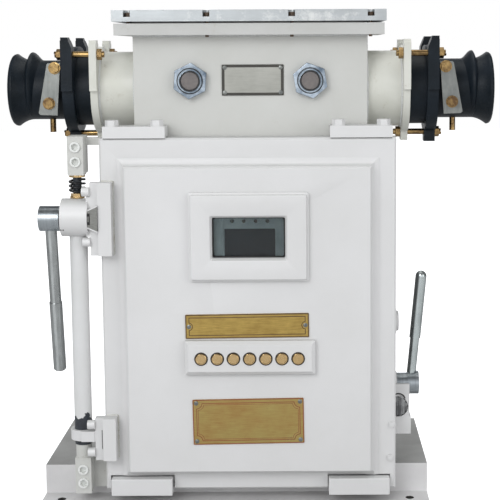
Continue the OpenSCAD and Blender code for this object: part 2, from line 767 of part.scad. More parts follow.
// A stack of rings stands for the coils, each joined to the next by a short slanted run
module lift_spring() color("black") at_origin() translate([shaft_x, shaft_y, 0]) {
  r = (spring_od - spring_wire) / 2;
  rise = spring_hi - spring_lo - spring_wire - 0.4;
  steps = 16;
  n = spring_turns * steps;
  pts = [for (i = [0 : n]) [r * cos(i * 360 / steps), r * sin(i * 360 / steps),
                            spring_lo + 0.2 + spring_wire / 2 + rise * i / n]];
  sides = 6;
  ring = function(i) [for (k = [0 : sides - 1])
    let (a = k * 360 / sides, t = i * 360 / steps, q = r + spring_wire / 2 * cos(a))
    [q * cos(t), q * sin(t), pts[i][2] + spring_wire / 2 * sin(a)]];
  verts = [for (i = [0 : n]) each ring(i)];
  polyhedron(verts, concat(
    [[for (k = [0 : sides - 1]) sides - 1 - k]],
    [for (i = [0 : n - 1]) for (k = [0 : sides - 1])
      [i * sides + k, i * sides + (k + 1) % sides, (i + 1) * sides + (k + 1) % sides, (i + 1) * sides + k]],
    [[for (k = [0 : sides - 1]) n * sides + k]]));
}

// Flat flange plate of the door, open behind the raised panel
module door_plate() color(paint) at_origin() difference() {
  translate([0, door_t, door_mid]) bevel_slab(door_w, door_h, door_t, 3);
  translate([-door_open_w / 2, -1, panel_z - door_open_h / 2]) cube([door_open_w, door_t + 2, door_open_h]);
  for (s = [-1, 1]) for (b = [-1, 1])
    rod_z(door_top - 14, door_top + 1, 5 + fit, s * hook_x + b * hook_bolt_span / 2, door_t / 2);
  hook_notches();
}

// Relief in the door's lower edge round each foot hook
module hook_notches() for (s = [-1, 1]) {
  near = s < 0 ? foot_hook_gap : foot_hook_gap / 2;
  far = s < 0 ? foot_hook_gap * 0.8 : foot_hook_gap / 2;
  span([s * foot_hook_x - hook_w / 2 - near, -foot_hook_t - 6, door_bottom - 1],
       [s * foot_hook_x + hook_w / 2 + far, door_t + 1, door_bottom + foot_hook_h - foot_hook_drop + foot_hook_gap / 2]);
}

// Raised pan welded on the flange, with holes for the window and the push buttons
module door_panel() color(paint) at_origin() difference() {
  union() {
    translate([0, -eps, panel_z]) bevel_slab(panel_w, panel_h, panel_proud - eps, 2);
    translate([0, -eps, panel_z]) bevel_slab(panel_w + 2 * panel_weld, panel_h + 2 * panel_weld, panel_weld, panel_weld - 1);
  }
  span([-door_open_w / 2, panel_face + panel_wall, panel_z - door_open_h / 2], [door_open_w / 2, 1, panel_z + door_open_h / 2]);
  span([window_x - window_w / 2 - glass_step, panel_face - 1, window_z - window_h / 2 - glass_step],
       [window_x + window_w / 2 + glass_step, 0, window_z + window_h / 2 + glass_step]);
  for (i = [0 : button_count - 1]) rod_y(panel_face - 1, 0, button_guide_d / 2 + 1, button_at(i), button_z);
  hook_notches();
}

function button_at(i) = button_x + (i - (button_count - 1) / 2) * button_pitch;

// Raised frame round the window
module window_frame() color(paint) at_origin() difference() {
  translate([frame_x, panel_face - eps, frame_z]) bevel_slab(frame_w, frame_h, frame_proud, 4);
  span([window_x - window_w / 2, panel_face - frame_proud - 1, window_z - window_h / 2],
       [window_x + window_w / 2, 0, window_z + window_h / 2]);
}

// Toughened glass behind the frame
module window_glass() color("lightblue", 0.4) at_origin()
  span([window_x - window_w / 2 - glass_step + 0.5, panel_face + clear, window_z - window_h / 2 - glass_step + 0.5],
       [window_x + window_w / 2 + glass_step - 0.5, panel_face + clear + glass_t, window_z + window_h / 2 + glass_step - 0.5]);

// Display: a case behind the glass with a bezel, a screen and four lamps
module display_unit() color("slategray") at_origin() difference() {
  span([window_x - window_w / 2 - 12, display_y, window_z - window_h / 2 - 12],
       [window_x + window_w / 2 + 12, display_y + 34, window_z + window_h / 2 + 12]);
  span([window_x - 42, display_y - 1, window_z - 36 + 10], [window_x + 42, display_y + 1.5, window_z + 21]);
  for (i = [0 : 3]) rod_y(display_y - 1, display_y + 1, 2.2, window_x + (i - 1.5) * 19.5, window_z + 27);
}

// Blank brass plates
module label_plate() color(brass) at_origin()
  translate([label_x, panel_face - eps, label_z]) rotate([0, -0.6, 0])
    riveted_plate(label_w, label_h, [[-label_w / 2 + 7, 0], [label_w / 2 - 7, 0]]);

module lower_plate() color(brass) at_origin()
  translate([lower_plate_x, panel_face - eps, lower_plate_z]) rotate([0, -0.8, 0])
    riveted_plate(lower_plate_w, lower_plate_h, four(lower_plate_w / 2 - 7, lower_plate_h / 2 - 7));

// Bar that guards the push buttons
module button_bar() color(paint) at_origin() difference() {
  translate([strip_x, panel_face - eps, strip_z]) bevel_slab(strip_w, strip_h, strip_proud, 6);
  for (i = [0 : button_count - 1]) {
    rod_y(button_y - 1, panel_face + 1, button_guide_d / 2 + 0.4, button_at(i), button_z);
    rod_y(button_y - 1, panel_face - 5, button_d / 2 + 0.6, button_at(i), button_z);
  }
}

// Push button: face, guide and a stem that reaches the switch behind the panel
module push_button(i) color(brass) at_origin() {
  rod_y(button_y - button_stick, button_y + 4, button_d / 2, button_at(i), button_z);
  rod_y(button_y + 3, panel_face - 1, button_guide_d / 2, button_at(i), button_z);
  rod_y(panel_face - 2, controller_y - button_travel - 0.5, button_stem_d / 2, button_at(i), button_z);
}

module push_button_1() push_button(0);
module push_button_2() push_button(1);
module push_button_3() push_button(2);
module push_button_4() push_button(3);
module push_button_5() push_button(4);
module push_button_6() push_button(5);
module push_button_7() push_button(6);

// Hook bars bolted on the door's top edge, which reach back over the housing's flange
module upper_hooks() color(paint) at_origin() for (s = [-1, 1]) difference() {
  translate([s * hook_x, 0, door_top]) {
    translate([-hook_w / 2, -2, eps]) cube([hook_w, door_t + 2, hook_h]);
    translate([-hook_w / 2, door_t - 1, 1]) cube([hook_w, hook_back - door_t + 1, hook_h - 1]);
  }
  for (b = [-1, 1]) rod_z(door_top - 1, door_top + 40, 5 + fit, s * hook_x + b * hook_bolt_span / 2, door_t / 2);
}

// Foot hooks welded under the housing's flange: a foot that reaches forward and a lip in front
module foot_hooks() color(paint) at_origin() for (s = [-1, 1])
  translate([s * foot_hook_x - hook_w / 2, 0, door_bottom - foot_hook_drop]) {
    translate([0, -foot_hook_t, 0]) cube([hook_w, foot_hook_t + body_front + body_flange_t, foot_hook_drop - eps]);
    translate([0, -foot_hook_t, 0]) cube([hook_w, foot_hook_t - 1, foot_hook_h]);
  }

// Bolts of the door: four on the upper hooks and four through the hinge plates
module door_bolts() color(paint) at_origin() {
  for (s = [-1, 1]) for (b = [-1, 1]) {
    x = s * hook_x + b * hook_bolt_span / 2;
    hex_z(door_top + hook_h + 1.5, door_top + hook_h + 10, 19, x, door_t / 2);
    rod_z(door_top + hook_h + 2 * eps, door_top + hook_h + 2, 11, x, door_t / 2);
    rod_z(door_top - 13, door_top + hook_h + 2, 5, x, door_t / 2);
  }
  for (z = hinge_bolt_z) rod_x(hinge_x0 - hinge_bolt_len, hinge_x0 - eps, hinge_bolt_r, hinge_bolt_y, z);
  for (p = edge_screws) {
    rod_y(-2.6, -eps, 5.6, p[0], p[1]);
    rod_y(-4, -2.5, 3.6, p[0], p[1]);
  }
}

// Two round-head screws near the door's right edge
edge_screws = [[flange_x - 6, 139], [flange_x - 9, 82]];

hinge_bolt_z = [upper_hinge_z0 + 22.5, upper_hinge_z0 + upper_hinge_h - 14.5, lower_hinge_z0 + 14, lower_hinge_z0 + 60.5];

// Upper hinge: a plate on the door that carries the eccentric's housing round the shaft
module cam_housing() color(paint) at_origin() difference() {
  union() {
    rod_x(cam_house_x0, cam_house_x1, cam_house_d / 2, 0, cam_z);
    difference() {
      span([cam_house_x1 - 3, -hinge_t, upper_hinge_z0], [hinge_x1, -eps, upper_hinge_z0 + upper_hinge_h]);
      span([cam_house_x1 - 4, -hinge_t - 1, cam_z + 35], [hinge_x0, 1, upper_hinge_z0 + upper_hinge_h + 1]);
      span([cam_house_x1 - 4, -hinge_t - 1, upper_hinge_z0 - 1], [hinge_x0, 1, cam_z - 30]);
      span([cam_house_x1 - 4, -hinge_t - 1, upper_hinge_z0 - 1], [hinge_x1 - hinge_step, -hinge_t + 6, upper_hinge_z0 + upper_hinge_h + 1]);
    }
  }
  rotate([90, 0, 0]) translate([0, 0, 8]) linear_extrude(40)
    polygon([[cam_house_x1 + 1, cam_z + 12], [hinge_x0 + 12, cam_z + 20], [hinge_x0 + 12, cam_z - 20], [cam_house_x1 + 1, cam_z - 12]]);
  rod_x(cam_house_x0 + cam_wall, cam_house_x1 - cam_wall, cam_house_d / 2 - cam_wall, 0, cam_z);
  rod_z(cam_z - 50, cam_z, shaft_d / 2 + fit, shaft_x, shaft_y);
  rod_z(cam_z, cam_z + 50, shaft_end_d / 2 + fit, shaft_x, shaft_y);
  rod_x(cam_house_x0 - 1, hinge_x0 + 11, cam_journal_r + fit, cam_y, cam_z);
}

// Lower hinge: a plate on the door with an eye round the shaft
module lower_hinge() color(paint) at_origin() difference() {
  union() {
    span([hinge_x0, -hinge_t, lower_hinge_z0], [hinge_x1, -eps, lower_hinge_z0 + lower_hinge_h]);
    rod_z(eye_z0, eye_z0 + eye_h, eye_d / 2, shaft_x, shaft_y);
    span([shaft_x, -hinge_t + 4, eye_z0], [hinge_x0 + 1, -eps, eye_z0 + eye_h]);
  }
  span([hinge_x0 - 1, -hinge_t - 1, lower_hinge_z0 - 1], [hinge_x1 - hinge_step, -hinge_t + 6, lower_hinge_z0 + lower_hinge_h + 1]);
  rod_z(eye_z0 - 1, eye_z0 + eye_h + 1, shaft_d / 2 + fit, shaft_x, shaft_y);
}

// Lift lever: hub, eccentric shaft with its pin in the neck of the hinge shaft, rod and grip
module lift_lever() color(steel) at_origin() {
  pin_y = cam_y + cam_throw * cos(45);
  pin_z = cam_z + cam_throw * sin(45);
  difference() {
    union() {
      rod_x(lever_hub_x0, lever_hub_x1, lever_hub_d / 2, cam_y, cam_z);
      rod_x(lever_hub_x1 - 1, shaft_x - shaft_d / 2 - 1, cam_journal_r, cam_y, cam_z);
      rod_x(shaft_x + shaft_d / 2 + 1, hinge_x0 + 10, cam_journal_r, cam_y, cam_z);
      rod_x(shaft_x - shaft_d / 2 - 2, shaft_x + shaft_d / 2 + 2, cam_pin_r, pin_y, pin_z);
    }
    rod_x(hinge_x0 + 4, hinge_x0 + 11, 5, cam_y, cam_z);
  }
  translate([lever_rod_x, cam_y, cam_z]) rotate([lever_lean, 0, 0]) {
    rod_z(-lever_len / 2 - 5, -lever_hub_d / 2 + 3, lever_rod_d / 2);
    rod_z(-lever_len + 2, -lever_len / 2, lever_grip_d / 2);
    rod_z(-lever_len, -lever_len + 3, lever_grip_d / 2 - 1.8);
  }
}

// Isolating switch lever: hub on the shaft, leaning rod and grip, and the shaft with its rotor
module switch_lever() color(steel) at_origin() {
  rod_x(iso_boss_x + clear, iso_cap_x + 1, iso_hub_d / 2 - 3, iso_y, iso_z);
  rod_x(iso_cap_x, iso_end_x, iso_hub_d / 2, iso_y, iso_z);
  rod_x(iso_rotor_x0, iso_boss_x + 1, 12, iso_y, iso_z);
  translate([iso_cap_x + 5.2, iso_y, iso_z]) rotate([0, 5.4, 0]) {
    rod_z(iso_hub_d / 2 - 3, iso_len * 0.41, iso_rod_d / 2);
    rod_z(iso_len * 0.41 - 1, iso_len - iso_rod_d / 2 - 1, iso_rod_d / 2 + 1.6);
    translate([0, 0, iso_len - iso_rod_d / 2 - 1]) sphere(r = iso_rod_d / 2 + 1.6);
  }
  rod_x(iso_rotor_x0, iso_rotor_x0 + 40, 20, iso_y, iso_z);
}

iso_rotor_x0 = side_x - body_wall - 75;

// Boss for the switch shaft and the guard round the stop button, on the housing's right wall
module interlock_guard() color(paint) at_origin() difference() {
  union() {
    rod_x(side_x + eps, iso_boss_x, 19, iso_y, iso_z);
    span([side_x + eps, guard_y, block_z1 - 1], [guard_x1, guard_y + 5.8, guard_z1]);
    span([side_x + eps, guard_y, block_z1 - 1], [guard_x1, guard_y + 42, pocket_z1]);
    span([side_x + eps, guard_y, guard_z0], [guard_x1 + 2.5, guard_y + 42, block_z1]);
  }
  rod_y(guard_y - 1, guard_y + 3, 12, stop_x + 1, stop_z + 11.4);
  rod_x(side_x - 1, iso_boss_x + 1, 12 + fit, iso_y, iso_z);
  rod_y(guard_y - 1, guard_y + 26, stop_d / 2 + 0.8, stop_x, stop_z);
  rod_y(guard_y, guard_y + 50, 6 + fit, stop_x, stop_z);
}

// Stop button with a ribbed edge
module stop_button() color(steel) at_origin() difference() {
  union() {
    rod_y(guard_y + 1, guard_y + 17, stop_d / 2, stop_x, stop_z);
    rod_y(guard_y + 16, guard_y + 40, 6, stop_x, stop_z);
  }
  for (a = [0 : 30 : 330])
    rod_y(guard_y, guard_y + 18, 2, stop_x + (stop_d / 2 + 0.6) * cos(a), stop_z + (stop_d / 2 + 0.6) * sin(a));
}

// Closed round boss on the right wall
module side_plug() color(paint) at_origin() {
  rod_x(side_x + eps, side_x + 20, 22.5, iso_y, 298);
  rod_x(side_x + 19, side_x + 24, 17, iso_y, 298);
}

// Sheet tray on the back wall that carries the electrical gear
module mounting_tray() color("gainsboro") at_origin() difference() {
  union() {
    span([-tray_x, tray_y, tray_z0], [tray_x, tray_y + tray_t, tray_z1]);
    for (x = [-tray_x + 15, tray_x - 15]) for (z = [tray_z0 + 20, tray_z1 - 20]) rod_y(tray_y + tray_t - 1, body_back - body_wall - eps, 9, x, z);
  }
  for (x = [-60, 60]) span([x - 18, tray_y - 1, tray_z0 + 10], [x + 18, tray_y + tray_t + 1, tray_z0 + 30]);
}

// Contactor: moulded base, coil block and six terminal pads
contactor_z = 330;
module vacuum_contactor() color("darkred") at_origin() difference() {
  union() {
    span([-130, tray_y - 60, contactor_z - 70], [130, tray_y - eps, contactor_z + 70]);
    span([-110, tray_y - 92, contactor_z - 68], [110, tray_y - 59, contactor_z - 30]);
    for (x = [-80, 0, 80]) for (s = [-1, 1])
      span([x - 14, tray_y - 75, contactor_z + s * 78 - 8], [x + 14, tray_y - 40, contactor_z + s * 78 + 8]);
  }
  for (x = [-80, 0, 80]) rod_z(contactor_z - 28, contactor_z + 75, 27, x, tray_y - 62);
}

// Three sealed vacuum bottles with a metal cap at each end
module vacuum_interrupters() color("white") at_origin() for (x = [-80, 0, 80]) {
  rod_z(contactor_z - 20, contactor_z + 50, 25, x, tray_y - 62);
  rod_z(contactor_z - 28 + eps, contactor_z - 19, 20, x, tray_y - 62);
  rod_z(contactor_z + 49, contactor_z + 60, 20, x, tray_y - 62);
  rod_z(contactor_z + 59, contactor_z + 75 - eps, 8, x, tray_y - 62);
}

// Isolating switch: a stack of moulded decks round the rotor
module isolating_switch() color("black") at_origin() difference() {
  union() {
    for (i = [0 : 2])
      span([iso_rotor_x0 - 6 + i * 16, iso_y - 38, iso_z - 38], [iso_rotor_x0 + 6 + i * 16, iso_y + 38, iso_z + 38]);
    for (y = [-30, 30]) span([iso_rotor_x0 - 6, iso_y + y - 5, iso_z - 50],
                             [side_x - body_wall - eps, iso_y + y + 5, iso_z - 28]);
    span([iso_rotor_x0 - 12, iso_y - 38, iso_z - 38], [iso_rotor_x0 - 5, iso_y + 38, iso_z + 38]);
  }
  rod_x(iso_rotor_x0 - 1, side_x, 21, iso_y, iso_z);
}

// Control transformer: laminated core with two coils
module control_transformer() color("firebrick") at_origin() {
  span([-trafo_x, tray_y - 80, tray_z0 + 40], [trafo_w - trafo_x, tray_y - eps, tray_z0 + 40 + trafo_h]);
  rod_z(tray_z0 + 32, tray_z0 + 48 + trafo_h, 26, trafo_w / 2 - trafo_x, tray_y - 40);
}

// Fuses in their carriers on the tray
module fuse_block() color("beige") at_origin() for (i = [0 : 2]) {
  span([-40 + i * 30, tray_y - 45, 120], [-18 + i * 30, tray_y - eps, 200]);
  rod_z(130, 190, 9, -29 + i * 30, tray_y - 50);
}

// Moulded posts that carry the current from the housing into the cable box
module through_terminals() color("saddlebrown") on_box() for (x = post_x) {
  rod_z(body_roof - body_wall - 18, box_floor_z + box_wall + 22, post_d / 2, x, entry_y);
  rod_z(box_floor_z + box_wall, box_floor_z + box_wall + 6, post_d / 2 + 5, x, entry_y);
  rod_z(box_floor_z + box_wall + 21, box_floor_z + box_wall + 48, 5, x, entry_y);
  hex_z(box_floor_z + box_wall + 26, box_floor_z + box_wall + 34, 17, x, entry_y);
  rod_z(body_roof - body_wall - 40, body_roof - body_wall - 17, 5, x, entry_y);
}

// Electronic controller on the inside of the door
module controller_unit() color("lightgray") at_origin() {
  span([-120, controller_y, button_z - 60], [120, controller_y + 52, button_z + 50]);
  for (x = [-128, 128]) for (z = [-40, 30])
    span([x - 9, panel_face + panel_wall + eps, button_z + z - 6], [x + 9, controller_y + 4, button_z + z + 6]);
}

base_frame();
main_housing();
cable_box();
cable_box_ends();
cable_box_rim();
cable_box_lid();
lid_bolts();
cable_nozzle_left();
cable_nozzle_right();
bell_mouth_left();
bell_mouth_right();
sealing_rings();
gland_studs();
cable_clamp_left();
cable_clamp_right();
clamp_bolts();
control_gland_left();
control_gland_right();
blanking_discs();
badge_plate();
hinge_shaft();
hinge_bracket_top();
hinge_bracket_foot();
bracket_screws();
spring_washer();
lift_spring();
spring_seat();
door_plate();
door_panel();
window_frame();
window_glass();
display_unit();
label_plate();
button_bar();
push_button_1();
push_button_2();
push_button_3();
push_button_4();
push_button_5();
push_button_6();
push_button_7();
lower_plate();
upper_hooks();
foot_hooks();
door_bolts();
cam_housing();
lower_hinge();
lift_lever();
switch_lever();
interlock_guard();
stop_button();
side_plug();
mounting_tray();
vacuum_contactor();
vacuum_interrupters();
isolating_switch();
control_transformer();
fuse_block();
through_terminals();
controller_unit();
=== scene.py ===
# %% [markdown]
# # A flameproof vacuum starter
# A starter switches a mine motor on and off inside a steel box that can hold an explosion. This lesson
# dresses the CAD model of one: it keeps every piece in its place, softens the edges, adds the welds,
# threads and rings that a CAD model leaves out, and gives each piece the finish of the real one.

# %% Load the frame
import json
from functools import partial
from math import asin, cos, degrees, pi, radians, sin, sqrt, tau

import bmesh
import bpy
from mathutils import Matrix, Vector


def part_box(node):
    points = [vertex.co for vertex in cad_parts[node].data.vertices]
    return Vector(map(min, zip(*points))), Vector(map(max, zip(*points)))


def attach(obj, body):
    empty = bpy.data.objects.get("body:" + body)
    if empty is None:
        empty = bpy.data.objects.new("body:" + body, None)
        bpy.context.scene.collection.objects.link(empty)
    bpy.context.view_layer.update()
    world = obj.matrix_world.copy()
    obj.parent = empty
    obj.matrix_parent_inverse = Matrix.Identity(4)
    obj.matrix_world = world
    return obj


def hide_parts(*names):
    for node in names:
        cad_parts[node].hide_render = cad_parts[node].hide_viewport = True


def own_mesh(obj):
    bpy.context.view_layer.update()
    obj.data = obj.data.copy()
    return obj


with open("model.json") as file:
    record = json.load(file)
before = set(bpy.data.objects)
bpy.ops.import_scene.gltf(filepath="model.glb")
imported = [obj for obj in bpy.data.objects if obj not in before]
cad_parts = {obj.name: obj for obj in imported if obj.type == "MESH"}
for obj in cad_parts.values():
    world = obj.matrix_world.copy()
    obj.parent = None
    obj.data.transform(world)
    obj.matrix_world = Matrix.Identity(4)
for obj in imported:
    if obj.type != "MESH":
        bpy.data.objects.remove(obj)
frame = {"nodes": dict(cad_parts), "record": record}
scene = bpy.context.scene
nodes = frame["nodes"]
record = frame["record"]
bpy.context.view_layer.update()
body_of = {node: body for body, names in record["behaviour"]["bodies"].items() for node in names}

# %% [markdown]
# ## One way to write a place
# The numbers below are measured from the middle of the door's front face, in millimetres, while Blender
# works in metres from the middle of the footprint. One small function turns the first into the second, so
# that every number can be read off the object with a rule. The axes that several steps share get a name
# here.

# %% Places in millimetres
DOOR_X, DOOR_Y = -3.5, -157.75
BOX_X = 3.5
NOZZLE_Y, NOZZLE_Z = 120, 691
DRUM_Z = 488
FACING = (0, -1, 0)
SIDES = ((-1, "left"), (1, "right"))


def at(x, y, z):
    """A place in millimetres from the door's middle, as a Blender vector in metres."""
    return Vector(((x + DOOR_X) / 1000, (y + DOOR_Y) / 1000, z / 1000))


def add_object(name, data):
    thing = bpy.data.objects.new(name, data)
    scene.collection.objects.link(thing)
    return thing


def end_mesh(bm, name):
    """Turns an edited mesh into an object."""
    mesh = bpy.data.meshes.new(name)
    bm.to_mesh(mesh)
    bm.free()
    return add_object(name, mesh)


for name in ("door_plate", "cable_box"):
    lo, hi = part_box(name)
    print(name, [round((b - a) * 1000, 1) for a, b in zip(lo, hi)], "mm")

# %% [markdown]
# ## The camera
# The photograph was taken from a little to the right and above, looking down by six and a half degrees.
# Its vanishing point isn't in the picture's middle, as after a crop, so the camera gets a lens shift.
# Matching the corners of the door, the lid and the base gave the numbers.

# %% Set the camera
focal_px, picture_px, centre_px = 1215.1, 500, (306.9, 185.0)
sensor_mm = 36
look_down, roll = 0.113, -0.005
lens_data = bpy.data.cameras.new("camera")
lens_data.sensor_width = sensor_mm
lens_data.lens = focal_px / picture_px * sensor_mm
lens_data.shift_x = (picture_px / 2 - centre_px[0]) / picture_px
lens_data.shift_y = (centre_px[1] - picture_px / 2) / picture_px
camera = add_object("camera", lens_data)
tilt = Matrix.Rotation(pi / 2 - look_down, 4, "X") @ Matrix.Rotation(roll, 4, "Z")
camera.matrix_world = Matrix.Translation(at(95.68, -1959.28, 761.25)) @ tilt
scene.camera = camera
print("lens", round(lens_data.lens, 1), "mm")

# %% [markdown]
# ## Shader groups
# A finish is a colour, a roughness and a bump height that vary together. Four node groups make them from
# Object coordinates: a skin for paint and mouldings, a grain for brushed and turned metal, a mask of
# stains, for rust and rubbed places, and a mask of painted shade on the faces that look up. Every
# material places them with its own values.

# %% A short way to place nodes
def is_socket(value):
    return isinstance(value, bpy.types.NodeSocket)


def feed(node, inputs):
    """Gives each input a plain value, or a link from the socket that drives it."""
    for key, value in inputs.items():
        if is_socket(value):
            node.id_data.links.new(value, node.inputs[key])
        else:
            node.inputs[key].default_value = value


def place_node(tree, kind, inputs=None, settings=None):
    node = tree.nodes.new(kind)
    for key, value in (settings or {}).items():
        setattr(node, key, value)
    feed(node, inputs or {})
    return node


def place_beside(kind, inputs, settings=None):
    """Places a node in the tree of the first socket among its inputs."""
    tree = next(value.id_data for value in inputs.values() if is_socket(value))
    return place_node(tree, kind, inputs, settings)


def new_tree(kind, name, sockets_in, sockets_out):
    """An empty group whose sockets are listed by type: the tree, what comes in, and the node at its end."""
    tree = bpy.data.node_groups.new(name, kind)
    for way, sockets in (("INPUT", sockets_in), ("OUTPUT", sockets_out)):
        for socket_type, labels in sockets:
            for label in labels.split():
                tree.interface.new_socket(name=label, in_out=way, socket_type="NodeSocket" + socket_type)
    return tree, place_node(tree, "NodeGroupInput").outputs, place_node(tree, "NodeGroupOutput")


def noise(vector, scale, detail, roughness=0.5):
    """The grey output of a noise whose scale is a socket or a number."""
    inputs = {"Vector": vector, "Scale": scale, "Detail": detail, "Roughness": roughness}
    return place_beside("ShaderNodeTexNoise", inputs).outputs["Fac"]


def maths(operation, a, b=0.0, clamp=False):
    settings = {"operation": operation, "use_clamp": clamp}
    return place_beside("ShaderNodeMath", {0: a, 1: b}, settings).outputs[0]


plus, minus, times = (partial(maths, operation) for operation in ("ADD", "SUBTRACT", "MULTIPLY"))


def blend(factor, a, b, mode="MIX"):
    settings = {"data_type": "RGBA", "blend_type": mode}
    return place_beside("ShaderNodeMix", {0: factor, 6: a, 7: b}, settings).outputs[2]


def coords(tree):
    return place_node(tree, "ShaderNodeTexCoord").outputs


def split(vector):
    """The outputs X, Y and Z of a vector."""
    return place_beside("ShaderNodeSeparateXYZ", {0: vector}).outputs


# %% Build the four groups
def new_surface(name, **sockets):
    """A group that makes a surface from two colours, with some sockets of its own."""
    given = [("Vector", "Place"), ("Color", "Colour Second"), ("Float", "Roughness"), *sockets.items()]
    made = [("Color", "Colour"), ("Float", "Roughness Height")]
    return new_tree("ShaderNodeTree", name, given, made)


def end_surface(tree, s, end, share, drift, height):
    """Mixes the two colours by a share and lets the roughness drift."""
    rough = plus(s["Roughness"], drift, True)
    feed(end, {"Colour": blend(share, s["Colour"], s["Second"]), "Roughness": rough, "Height": height})
    return tree


def build_skin():
    tree, s, end = new_surface("paint skin", Float="Patches Peel")
    patch = noise(s["Place"], s["Patches"], 4.0, 0.6)
    share = times(minus(patch, 0.38), 3.0, True)
    drift = times(minus(patch, 0.5), 0.3)
    return end_surface(tree, s, end, share, drift, noise(s["Place"], s["Peel"], 2.0))


def build_grain():
    tree, s, end = new_surface("metal grain", Vector="Stretch", Float="Density Contrast")
    pull = place_beside("ShaderNodeVectorMath", {0: s["Place"], 1: s["Stretch"]}, {"operation": "MULTIPLY"})
    line = noise(pull.outputs[0], s["Density"], 4.0, 0.65)
    cloud = noise(s["Place"], 22.0, 4.0, 0.6)
    uneven = minus(plus(line, cloud), 1.0)
    share = plus(times(uneven, s["Contrast"]), 0.45, True)
    drift = times(minus(cloud, 0.5), 0.5)
    return end_surface(tree, s, end, share, drift, line)


def new_mask(name, **sockets):
    return new_tree("ShaderNodeTree", name, [("Vector", "Place"), *sockets.items()], [("Float", "Mask")])


def build_stain():
    tree, s, end = new_mask("stain", Float="Size Share Hardness")
    over = plus(minus(noise(s["Place"], s["Size"], 6.0, 0.72), 1.0), s["Share"])
    feed(end, {"Mask": times(over, s["Hardness"], True)})
    return tree


def build_settled():
    """Mask of painted shade on the faces that look up, broken by noise and weaker near the floor."""
    tree, s, end = new_mask("settled", Vector="Normal", Float="Size Floor")
    level = times(minus(split(s["Normal"])["Z"], 0.6), 4.0, True)
    uneven = plus(times(noise(s["Place"], s["Size"], 5.0, 0.6), 0.5), 0.68, True)
    height = minus(split(s["Place"])["Z"], s["Floor"])
    share = plus(times(times(height, 200.0, True), 0.72), 0.28)
    feed(end, {"Mask": times(times(level, uneven), share)})
    return tree


groups = {"skin": build_skin(), "grain": build_grain(), "stain": build_stain(), "settled": build_settled()}
print("groups:", ", ".join(g.name for g in groups.values()))

# %% [markdown]
# ## Finishes
# Each finish places one base group and, where the real surface has one, a stain over it. The Principled
# shader, and the settings that are the same all over, stay in plain view outside the groups.

# %% A finish from a base group and a stain
def rgba(*c):
    return (*c, 1.0)


def new_material(name):
    material = bpy.data.materials.new(name)
    material.use_nodes = True
    return material, material.node_tree, material.node_tree.nodes["Principled BSDF"]


def finish(name, base, values, metallic=0, bump=0.2, depth=0.2, stain=None, coat=0, specular=0.5,
           settled=None):
    """A material from the group skin or grain, with a bump depth in millimetres. A stain has size, share,
    hardness, colour, roughness and metallic. The last argument is the colour of painted shade on faces that
    look up."""
    material, tree, shader = new_material(name)
    where = coords(tree)

    def group(key, inputs):
        inputs = {"Place": where["Object"], **inputs}
        return place_node(tree, "ShaderNodeGroup", inputs, {"node_tree": groups[key]}).outputs

    skin = group(base, values)
    colour, rough = skin["Colour"], skin["Roughness"]
    shader.inputs["Metallic"].default_value = metallic
    if stain:
        size, share, hardness, spot, spot_rough, spot_metallic = stain
        mask = group("stain", {"Size": size, "Share": share, "Hardness": hardness})["Mask"]
        colour = blend(mask, colour, rgba(*spot))
        keep = minus(1.0, mask)
        rough = plus(times(rough, keep), times(mask, spot_rough))
        if metallic != spot_metallic:
            feed(shader, {"Metallic": plus(times(keep, metallic), times(mask, spot_metallic))})
    # Painted shade: faces that look up are darkened towards the given colour, and made rougher.
    if settled:
        up = group("settled", {"Normal": where["Normal"], "Size": 12, "Floor": 0.05})["Mask"]
        colour = blend(up, colour, rgba(*settled))
        rough = plus(rough, times(up, 0.3), True)
    bumps = {"Strength": bump, "Distance": depth / 1000, "Height": skin["Height"]}
    normal = place_node(tree, "ShaderNodeBump", bumps).outputs["Normal"]
    feed(shader, {"Base Color": colour, "Roughness": rough, "Coat Weight": coat, "Normal": normal,
                  "Specular IOR Level": specular})
    return material


def paint(name, colour, second, patches, peel, roughness, bump=0.3, depth=0.3, **rest):
    """Enamel in two near colours, with the scale of its patches and of its orange peel."""
    values = {"Colour": rgba(*colour), "Second": rgba(*second), "Patches": patches, "Peel": peel,
              "Roughness": roughness}
    return finish(name, "skin", values, bump=bump, depth=depth, **rest)


def metal(name, stretch, density, colour, second, roughness, contrast=0.9, metallic=1.0, **rest):
    """Metal whose grain is drawn out along the axes where stretch is small."""
    values = {"Stretch": stretch, "Density": density, "Colour": rgba(*colour), "Second": rgba(*second),
              "Roughness": roughness, "Contrast": contrast}
    return finish(name, "grain", values, metallic, **rest)


# %% The paints
# The white enamel darkens its faces that look up as painted shade.
white_paint = paint(
    "white enamel", (0.705, 0.7, 0.7), (0.67, 0.665, 0.66), 7, 300, 0.36, 0.25, coat=0.1,
    settled=(0.53, 0.53, 0.52), stain=(26, 0.33, 2.5, (0.58, 0.57, 0.53), 0.6, 0))
# The cable box and its rim get darker copies of the white enamel as painted shade, with their own stains.
shaded_box_paint = paint(
    "cable box enamel", (0.6, 0.6, 0.575), (0.56, 0.56, 0.53), 9, 280, 0.4, coat=0.05,
    stain=(30, 0.36, 3, (0.5, 0.48, 0.42), 0.6, 0))
shaded_rim_paint = paint(
    "rim enamel", (0.54, 0.54, 0.525), (0.5, 0.5, 0.48), 9, 280, 0.42,
    stain=(40, 0.4, 4, (0.44, 0.42, 0.37), 0.65, 0))
